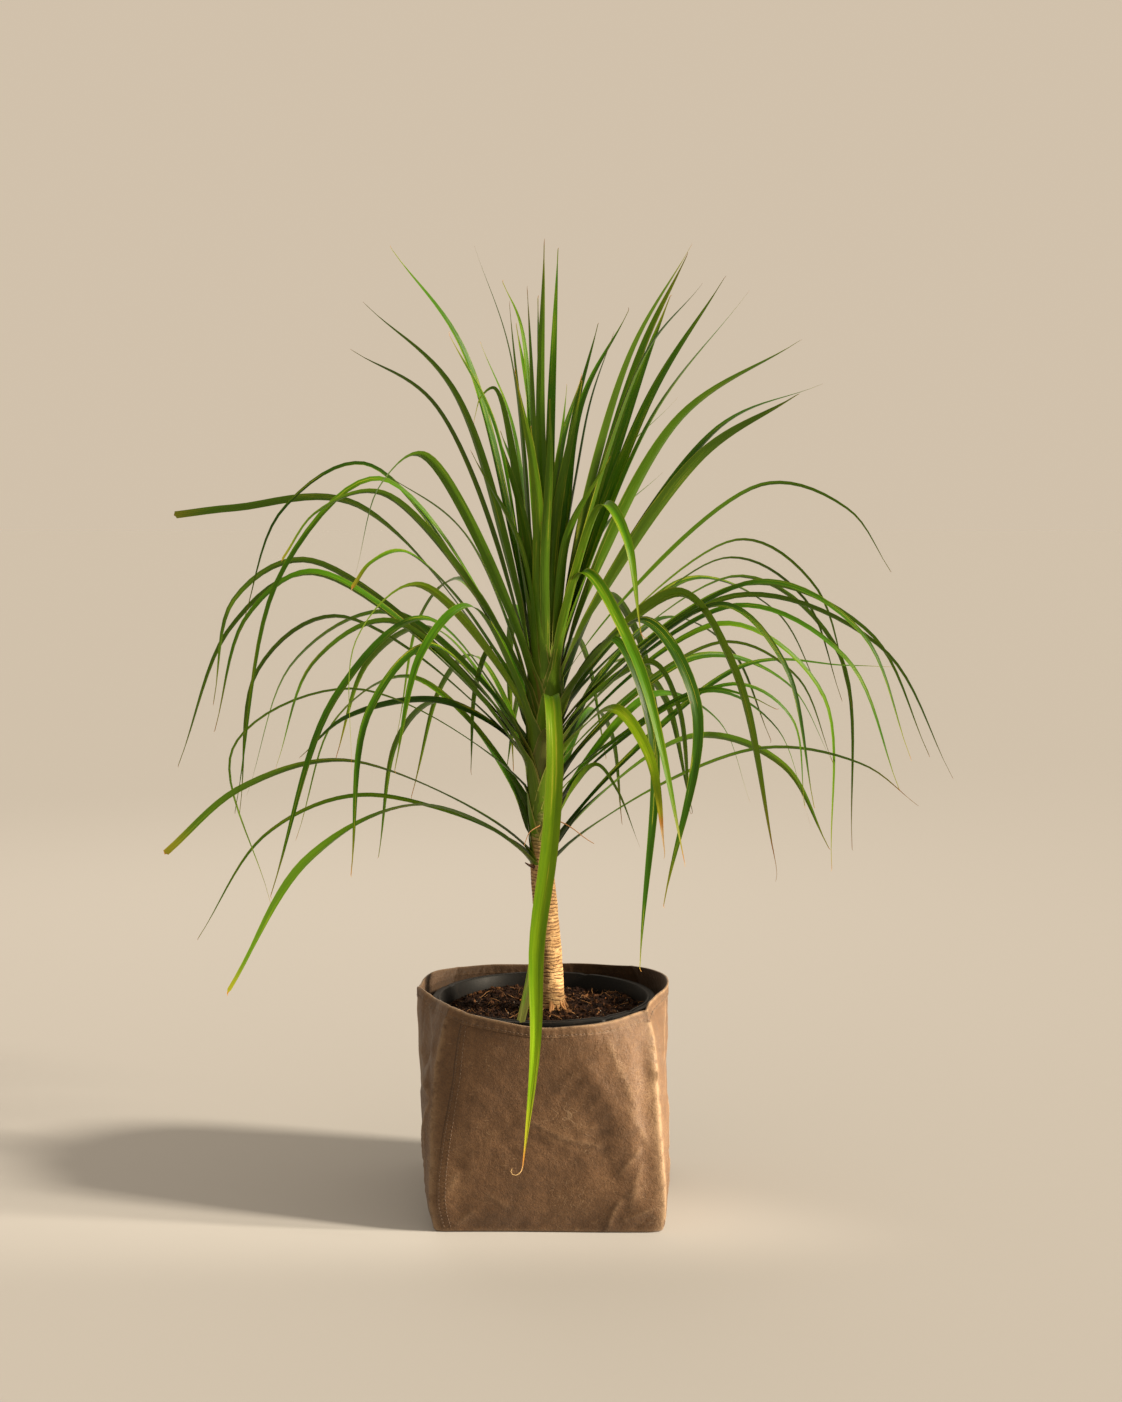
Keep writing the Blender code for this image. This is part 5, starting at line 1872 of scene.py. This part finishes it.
FOLDS: tuple[Fold, ...] = (
    Fold((315.7, -0.3), (315.5, 0.88), 0.0044, 0.0048),
    Fold((315.4, 0.68), (321.5, 1.12), 0.0044, 0.0048),
    Fold((225.2, -0.3), (225.6, 1.14), 0.0034, 0.0046),
    Fold((192, 0.45), (188, 1.3), 0.0034, 0.008),
    Fold((46, -0.25), (44, 1.2), 0.003, 0.006),
    Fold((134, -0.25), (136, 1.2), 0.0028, 0.006),
    Fold((310, 0.1), (312, 0.95), -0.003, 0.008, crisp=False),
    Fold((334, 0.46), (338, 1.5), -0.0036, 0.02, crisp=False),
    Fold((210, 0.62), (206, 1.6), -0.008, 0.019, crisp=False),
    Fold((234, 0.05), (231, 0.8), -0.0012, 0.009, crisp=False),
    Fold((286, 0.86), (305, 0.46), 0.0022, 0.012, crisp=False),
    Fold((292, 0.52), (300, 0.2), -0.0016, 0.012, crisp=False),
    Fold((297, 0.95), (308, 0.55), 0.0014, 0.004),
    Fold((303, 0.62), (312, 0.4), 0.0013, 0.0034),
    Fold((204, 1.0), (223, 0.78), 0.0022, 0.006, crisp=False),
    Fold((194, 0.76), (225, 0.59), 0.0022, 0.0038, bow=0.002),
    Fold((218, 0.9), (208, 0.7), -0.0018, 0.006, crisp=False),
    Fold((219, 0.74), (222, 0.62), -0.0016, 0.004, crisp=False),
    Fold((224, 0.6), (209, 0.18), 0.0024, 0.0036, bow=-0.004),
    Fold((219, 0.46), (214, 0.1), 0.0016, 0.0026, bow=0.002),
    Fold((211, 0.22), (216, 0.04), 0.001, 0.0024, bow=0.003),
    Fold((345, 0.98), (324, 0.72), 0.002, 0.003, bow=0.002),
    Fold((336, 0.76), (323, 0.58), 0.0014, 0.0028),
    Fold((338, 0.6), (325, 0.2), 0.0017, 0.0036, bow=0.003),
    Fold((322, 0.34), (318, 0.06), -0.0016, 0.003),
    Fold((330, 0.3), (320, 0.14), 0.0012, 0.0026),
    Fold((297, 0.0), (302, 0.18), 0.0014, 0.0022, bow=0.002),
    Fold((302, 0.17), (311, 0.24), 0.001, 0.0022),
    Fold((301, 0.06), (312, 0.13), 0.0011, 0.0022, bow=-0.001),
    Fold((306, 0.01), (311, 0.09), -0.0012, 0.0022),
    Fold((305, 0.1), (309, 0.34), 0.0011, 0.003, bow=0.002),
    Fold((300, 0.27), (309, 0.42), 0.001, 0.003),
    Fold((229, 0.14), (235, 0.3), 0.0009, 0.0026),
    Fold((231, 0.02), (240, 0.12), 0.001, 0.0024),
    Fold((262, 0.56), (280, 0.46), 0.0007, 0.003),
    Fold((278, 0.47), (296, 0.42), 0.0008, 0.0032),
    Fold((243, 0.2), (254, 0.12), 0.0006, 0.0028),
)


@dataclass
class Bag:
    """The waxed-cloth bag: square at its base, pushed round at its mouth, with a folded and stitched hem."""

    base_half: float = 0.115
    mouth_radius: float = 0.1256
    mouth_shift: float = -0.003
    cloth: float = 0.002
    rim_height: float = 0.2145
    sides_up: float = 0.0055
    back_up: float = 0.004
    base_squareness: float = 22.0
    squareness_fall: float = 0.35
    mouth_squareness: float = 2.1
    base_round: float = 0.0025
    hem_width: float = 0.0095
    hem_cloth: float = 0.0006
    rim_cloth: float = 0.0011
    right_lift: float = 0.0042
    left_lift: float = 0.0046
    right_step: Triple = (320.5, 0.085, 1.5)
    left_step: Triple = (204.0, 0.244, 0.454)
    corner_lifts: tuple[Pair, ...] = ((194.0, 0.0034), (224.0, 0.003))
    corner_reach: float = 0.14
    belly: float = 0.0036
    foot_tuck: float = 0.0042
    stitch_drop: float = 0.0074
    stitch_pitch: float = 0.004
    seam_angle: float = radians(233.0)
    columns: int = 400
    rows: int = 130
    loose_folds: int = 46
    fold_seed: int = 47

    def __post_init__(self) -> None:
        """Settle the small folds of the sides and the back by a seeded draw."""
        draw = random.Random(self.fold_seed)
        self.folds = list(FOLDS)
        for _ in range(self.loose_folds):
            place = (draw.uniform(-40.0, 222.0), draw.uniform(0.02, 0.85))
            reach = (place[0] + draw.uniform(-14.0, 14.0), place[1] + draw.uniform(0.08, 0.3))
            height = draw.choice((-1.0, 1.0)) * draw.uniform(0.0004, 0.0013)
            self.folds.append(Fold(place, reach, height, draw.uniform(0.0024, 0.006), draw.random() < 0.6))

    def rim(self, angle: Array) -> Array:
        """Height of the rim: lowest in front, and stepped up where the right corner's fold meets it.

        Args:
            angle: Angles round the bag.

        Returns:
            The heights.
        """
        place, rise, fall = self.right_step
        past = angle_from(angle, radians(place))
        lift = self.right_lift * eased(past / rise) * eased((1.9 - past) / fall)
        place, rise, fall = self.left_step
        before = angle_from(angle, radians(place))
        lift = lift + self.left_lift * eased(before / rise) * (1.0 - eased((before - 0.803) / fall))
        for place, rise in self.corner_lifts:
            lift = lift + rise * np.exp(-((angle_from(angle, radians(place)) / self.corner_reach) ** 2))
        wave = 0.0004 * ripples(angle, np.zeros(1), 41, 6, 9, (1.0, 2.0))
        level = self.rim_height + self.sides_up * np.cos(2.0 * angle) + self.back_up * np.sin(angle)
        return level + lift + wave

    def thickness(self, share: Array) -> Array:
        """Thickness of the cloth, which is thinnest at the rim."""
        return between((self.cloth, self.rim_cloth), eased((share - 0.8) / 0.12))

    def creased(self, angle: Array, share: Array) -> Array:
        """How strongly a crisp ridge shows, from 0 to 1, for the wear along it.

        Args:
            angle: Angles round the bag.
            share: Shares of its height.

        Returns:
            The strengths.
        """
        total = np.zeros(np.broadcast(angle, share).shape)
        for fold in self.folds:
            if fold.crisp and fold.height > 0.0:
                thin = replace(fold, width=fold.width * 0.45)
                total = np.maximum(total, thin.relief(angle, share) / 0.0026)
        return np.clip(total, 0.0, 1.0)

    def drape(self, angle: Array, share: Array) -> Array:
        """How far the cloth stands out of its plain form, in metres.

        Args:
            angle: Angles round the bag.
            share: Shares of its height.

        Returns:
            The distances.
        """
        height = share * self.rim_height
        held = eased(share / 0.04)
        loose = held * (1.0 - 0.55 * eased((share - 0.88) / 0.1))
        out = sum(fold.relief(angle, share) for fold in self.folds) * between((0.5, 1.0), held)
        panel = np.cos(2.0 * angle) ** 2
        out = out + 0.0016 * panel * np.sin(pi * np.clip(share, 0.0, 1.0)) * loose
        left = between((0.25, 1.0), eased(0.5 - 0.7 * np.cos(angle)))
        out = out - self.foot_tuck * left * (1.0 - eased(share / 0.15))
        out = out + 0.00055 * ripples(angle, height, 43, 9, 5, (0.2, 0.7)) * loose
        out = out + 0.00032 * ripples(angle, height, 44, 14, 14, (0.04, 0.16)) * loose
        rough = eased(0.5 + 0.4 * ripples(angle, height, 45, 6, 5, (0.08, 0.3)))
        out = out + 0.00016 * ripples(angle, height, 46, 26, 46, (0.01, 0.045)) * loose * rough
        low_down = eased(share / 0.1) * (1.0 - eased((share - 0.12) / 0.6))
        belly = self.belly * np.abs(np.cos(angle)) * low_down
        seam = angle_from(angle, self.seam_line(share))
        return out + belly + 0.0008 * eased(seam / 0.016) * (1.0 - eased((seam - 0.05) / 0.08)) * held

    def seam_line(self, share: Array) -> Array:
        """Angle of the seam, where the front panel laps over the side."""
        return self.seam_angle - 0.095 * eased((0.85 - share) / 0.65)

    def surface(self, angle: Array, share: Array, inset: Array | float = 0.0) -> Array:
        """Points of the cloth.

        Args:
            angle: Angles round the bag.
            share: Shares of the height, from 0 at the base to 1 at the rim.
            inset: How far the points lie inside the outer face, in metres.

        Returns:
            The points, in the last axis.
        """
        angle, share, inset = np.broadcast_arrays(angle, share, inset)
        fallen = np.maximum(share, 0.0) ** self.squareness_fall
        squareness = between((self.base_squareness, self.mouth_squareness), fallen)
        half = between((self.base_half, self.mouth_radius), share) - inset
        spread = np.abs(np.cos(angle)) ** squareness + np.abs(np.sin(angle)) ** squareness
        radius = half / spread ** (1.0 / squareness) + self.drape(angle, share)
        x = radius * np.cos(angle) + self.mouth_shift * share
        return np.stack((x, radius * np.sin(angle), self.rim(angle) * share), axis=-1)

    def floor_ring(self, angle: Array, size: float, height: float) -> Array:
        """A ring of the bag's flat floor, at a share of its full size."""
        ring = self.surface(angle, np.array([0.0]), 0.0)
        ring = ring * np.array((size, size, 0.0))
        return ring + np.array((0.0, 0.0, height))

    def build_shell(self) -> Piece:
        """The cloth, outside and inside, with its floor.

        Returns:
            The piece.
        """
        angle = once_round(self.columns)
        rings, worn = [], []
        small = 1.0 - self.base_round / self.base_half
        inner_shares = np.linspace(0.997, (self.cloth + 0.0005) / self.rim_height, 46)
        for size in (0.02, 0.35, 0.7, 0.9, small):
            rings.append(self.floor_ring(angle[0], size, 0.0))
            worn.append(np.zeros(self.columns))
        foot = self.base_round / self.rim_height
        shares = np.concatenate(([foot * 0.35, foot * 0.75], np.linspace(foot, 0.997, self.rows)))
        insets = np.concatenate(([self.base_round * 0.38, self.base_round * 0.08], np.zeros(self.rows)))
        outer = self.surface(angle, shares[:, None], insets[:, None])
        crease = self.creased(angle, shares[:, None])
        foot_line = np.exp(-((shares / 0.012) ** 2))[:, None]
        rings += list(outer)
        worn += list(np.clip(crease + 0.8 * foot_line + 0.0 * angle, 0.0, 1.0))
        inner = self.surface(angle, inner_shares[:, None], self.thickness(inner_shares)[:, None])
        rings += list(inner)
        worn += [np.zeros(self.columns)] * len(inner_shares)
        for size in (0.93, 0.6, 0.3, 0.02):
            rings.append(self.floor_ring(angle[0], size, self.cloth))
            worn.append(np.zeros(self.columns))
        seam = np.ones((len(rings), self.columns))
        fading = 1.0 + 4.0 * eased((0.55 - shares) / 0.35)[:, None]
        seam[5:5 + len(shares)] = fading * angle_from(angle, self.seam_line(shares[:, None]))
        # The inner face and inner floor are marked for the material's painted shade.
        inside = np.zeros(seam.shape)
        inside[5 + len(shares):] = 1.0
        values = {"worn": np.array(worn), "seam": seam, "inside": inside}
        return ring_mesh("cloth_bag_shell", np.array(rings), False, values, FULL_TURN * self.mouth_radius)

    def build_hem(self) -> Piece:
        """The folded hem: a second layer of cloth that goes over the rim, puckered by its stitches.

        Returns:
            The piece.
        """
        angle = np.linspace(0.0, FULL_TURN, self.columns * 3 // 2, endpoint=False)
        proud, drop = self.hem_cloth, self.hem_width
        path = [(0.0004, drop), (-proud * 0.9, drop), (-proud, drop - 0.0005)]
        path += [(-proud, drop * step / 8.0) for step in range(7, 0, -1)]
        middle, reach = self.rim_cloth / 2.0, self.rim_cloth / 2.0 + proud
        for step in range(7):
            turn = pi * step / 6.0
            path.append((middle - reach * cos(turn), -0.0008 * sin(turn)))
        path += [(self.rim_cloth + proud, drop * step / 8.0) for step in range(1, 8)]
        path += [(self.rim_cloth + proud, drop - 0.0012), (self.rim_cloth + proud * 0.7, drop)]
        path += [(0.0006, drop)]
        rim = self.rim(angle)
        arc = angle * self.mouth_radius
        rings, worn, inside = [], [], []
        for inset, below in path:
            near_stitch = exp(-(((below - self.stitch_drop) / 0.0035) ** 2))
            side = -1.0 if inset > middle else 1.0
            pucker = 0.00022 * np.sin(FULL_TURN * arc / (2.0 * self.stitch_pitch)) * near_stitch
            pucker -= 0.00035 * exp(-(((below - self.stitch_drop) / 0.0009) ** 2))
            roll = 0.00012 * ripples(angle, np.array([below]), 51, 12, 26, (0.02, 0.08))
            rings.append(self.surface(angle, 1.0 - below / rim, inset - side * (pucker + roll)))
            worn.append(np.full(len(angle), exp(-((below / 0.0012) ** 2)) * 0.9 + 0.15 * near_stitch))
            # The hem's inner layer is marked for the material's painted shade.
            inside.append(np.full(len(angle), 1.0 if inset > self.rim_cloth else 0.0))
        seam = np.ones((len(path), len(angle)))
        values = {"worn": np.array(worn), "inside": np.array(inside), "seam": seam}
        return ring_mesh("folded_hem", np.array(rings), True, values, FULL_TURN * self.mouth_radius)

    def build_stitches(self, recipe: StitchRecipe, material: Material) -> list[Piece]:
        """The stitch lines of the hem and of the side seam.

        Args:
            recipe: The recipe that sews.
            material: The thread's finish.

        Returns:
            The pieces.
        """
        angle = np.linspace(0.0, FULL_TURN, 900, endpoint=False)
        hem = self.surface(angle, 1.0 - self.stitch_drop / self.rim(angle), -self.hem_cloth + 0.0001)
        share = np.linspace(0.03, 0.945, 160)
        lines = {"hem_stitches": (hem, True)}
        for name, aside in (("seam_stitches_left", 0.016), ("seam_stitches_right", 0.05)):
            at = self.seam_line(share) + aside
            lines[name] = (self.surface(at, share, -0.0001), False)
        pieces = []
        for name, (points, closed) in lines.items():
            edges = [(at, at + 1) for at in range(len(points) - 1)]
            if closed:
                edges.append((len(points) - 1, 0))
            mesh = bpy.data.meshes.new(name)
            mesh.from_pydata(points.tolist(), edges, [])
            values = {
                "Pitch": self.stitch_pitch, "Length": self.stitch_pitch * 0.74, "Thickness": 0.00085,
                "Finish": material,
            }
            pieces.append(recipe.run(link(name + "_line", mesh), name, values))
        return pieces


@dataclass
class Studio:
    """A pale floor, soft warm light from the right and the camera at the photograph's angle."""

    camera_place: Triple = (0.014, -2.1, 0.704)
    camera_pitch: float = radians(90.0 - 5.3)
    sensor: float = 36.0
    focal_pixels: float = 2100.0
    frame_height: float = 1402.0
    floor_half: float = 60.0
    floor_colour: Colour = (0.452, 0.446, 0.444)
    floor_roughness: float = 0.85
    world_colour: Colour = (0.64, 0.535, 0.41)
    world_strength: float = 1.0
    key_from: Triple = (0.95, -0.28, 0.47)
    key_strength: float = 5.6
    key_softness: float = radians(7.0)
    key_colour: Colour = (1.0, 0.86, 0.66)
    patch_place: Triple = (1.18, -0.28, 0.29)
    patch_aim: Triple = (0.118, -0.09, 0.14)
    patch_power: float = 190.0
    patch_cone: float = radians(19.0)
    patch_radius: float = 0.05
    rim_place: Triple = (-0.6, 2.0, 1.8)
    rim_aim: Triple = (0.0, 0.0, 0.5)
    rim_power: float = 8.0
    rim_size: float = 1.2
    rim_colour: Colour = (1.0, 0.9, 0.76)

    def build_camera(self) -> None:
        """Set the camera."""
        data = bpy.data.cameras.new("photo_camera")
        data.sensor_width = self.sensor
        data.lens = self.focal_pixels / self.frame_height * self.sensor
        camera = bpy.data.objects.new("photo_camera", data)
        camera.location = self.camera_place
        camera.rotation_euler = (self.camera_pitch, 0.0, 0.0)
        bpy.context.scene.collection.objects.link(camera)
        bpy.context.scene.camera = camera

    def add_light(self, name: str, kind: str, power: float, colour: Colour, towards: Vector) -> Piece:
        """Add a light.

        Args:
            name: Name of the light.
            kind: Blender's name for its kind.
            power: Its power.
            colour: Its colour.
            towards: The way back to the light.

        Returns:
            The light.
        """
        data = bpy.data.lights.new(name, kind)
        data.energy = power
        data.color = colour
        light = bpy.data.objects.new(name, data)
        light.rotation_euler = towards.to_track_quat("Z", "Y").to_euler()
        bpy.context.scene.collection.objects.link(light)
        return light

    def build_lights(self) -> None:
        """Set the low key light from the right, the soft patch on the bag's right side and a rim light."""
        key = self.add_light("warm_key", "SUN", self.key_strength, self.key_colour, Vector(self.key_from))
        key.data.angle = self.key_softness
        towards = Vector(self.patch_place) - Vector(self.patch_aim)
        patch = self.add_light("right_patch", "SPOT", self.patch_power, self.key_colour, towards)
        patch.location = self.patch_place
        patch.data.spot_size = self.patch_cone
        patch.data.spot_blend = 1.0
        patch.data.shadow_soft_size = self.patch_radius
        towards = Vector(self.rim_place) - Vector(self.rim_aim)
        rim = self.add_light("far_rim", "AREA", self.rim_power, self.rim_colour, towards)
        rim.location = self.rim_place
        rim.data.size = self.rim_size

    def build_floor(self) -> None:
        """Lay the pale floor."""
        build = bmesh.new()
        bmesh.ops.create_grid(build, x_segments=1, y_segments=1, size=self.floor_half)
        sheet = FinishSheet("pale_floor", specular=0.1)
        sheet.colour = self.floor_colour
        dress(settle("pale_floor", build), sheet.finish(self.floor_roughness))

    def build(self) -> None:
        """Set the floor, the world, the lights and the camera."""
        self.build_floor()
        world = bpy.data.worlds.new("pale_studio")
        world.use_nodes = True
        sky = world.node_tree.nodes["Background"]
        sky.inputs["Color"].default_value = (*self.world_colour, 1.0)
        sky.inputs["Strength"].default_value = self.world_strength
        bpy.context.scene.world = world
        bpy.context.scene.view_settings.view_transform = "Standard"
        self.build_lights()
        self.build_camera()


def seat(piece: Piece, slot: str, *nodes: str) -> None:
    """Let a piece ride on the part and stand for its nodes, and report it.

    Args:
        piece: The piece.
        slot: Its slot; not used.
        *nodes: The nodes that it stands for.
    """
    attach(piece, BODY)
    if nodes:
        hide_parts(*nodes)
    piece.data.calc_loop_triangles()
    LOG.info("%s: %d triangles", piece.name, len(piece.data.loop_triangles))


def dress(piece: Piece, material: Material) -> Piece:
    """Give the piece its finish."""
    piece.data.materials.append(material)
    return piece


def main() -> None:
    """Build the studio and every piece in order."""
    logging.basicConfig(level=logging.INFO, format="%(message)s")
    Studio().build()
    cloth, thread = WaxedCloth().material(), SewingThread().material()
    plastic, soil_finish = SatinPlastic().material(), PottingSoil().material()
    bark, skin, fibre = CaneBark().material(), LeafSkin().material(), PlantFibre().material()
    pale = Speck("pale_grain", (0.62, 0.58, 0.5)).material()
    orange = Speck("orange_grain", (0.52, 0.17, 0.03)).material()

    bag = Bag()
    seat(dress(bag.build_shell(), cloth), "waxed_cloth", "cloth_bag")
    seat(dress(bag.build_hem(), cloth), "waxed_cloth")
    for piece in bag.build_stitches(StitchRecipe(), thread):
        seat(piece, "waxed_cloth")

    pot = Pot()
    seat(dress(pot.build(), plastic), "black_pot", "nursery_pot")

    cane = Cane()
    soil = Soil(pot, cane)
    seat(dress(soil.build_bed(), soil_finish), "potting_soil", "soil")
    chip = PlantFibre("bark_chip", (0.02, 0.01, 0.005), (0.26, 0.12, 0.05)).material()
    finishes = {"soil": soil_finish, "chip": chip, "fibre": fibre, "pale": pale, "orange": orange}
    for piece in soil.strew(ScatterRecipe(), finishes):
        seat(piece, "potting_soil")

    seat(dress(cane.build_trunk(), bark), "cane_bark", "trunk")
    seat(dress(cane.build_core(), bark), "cane_bark", "leaf_crown")
    strands = StrandRecipe()
    seat(cane.build_roots(strands, fibre), "cane_bark")
    seat(cane.build_bits(strands, fibre), "cane_bark")
    for piece in Crown(cane).build(LeafRecipe(), skin):
        seat(piece, "leaf_blade", "leaf_crown")


if __name__ == "__main__":
    main()
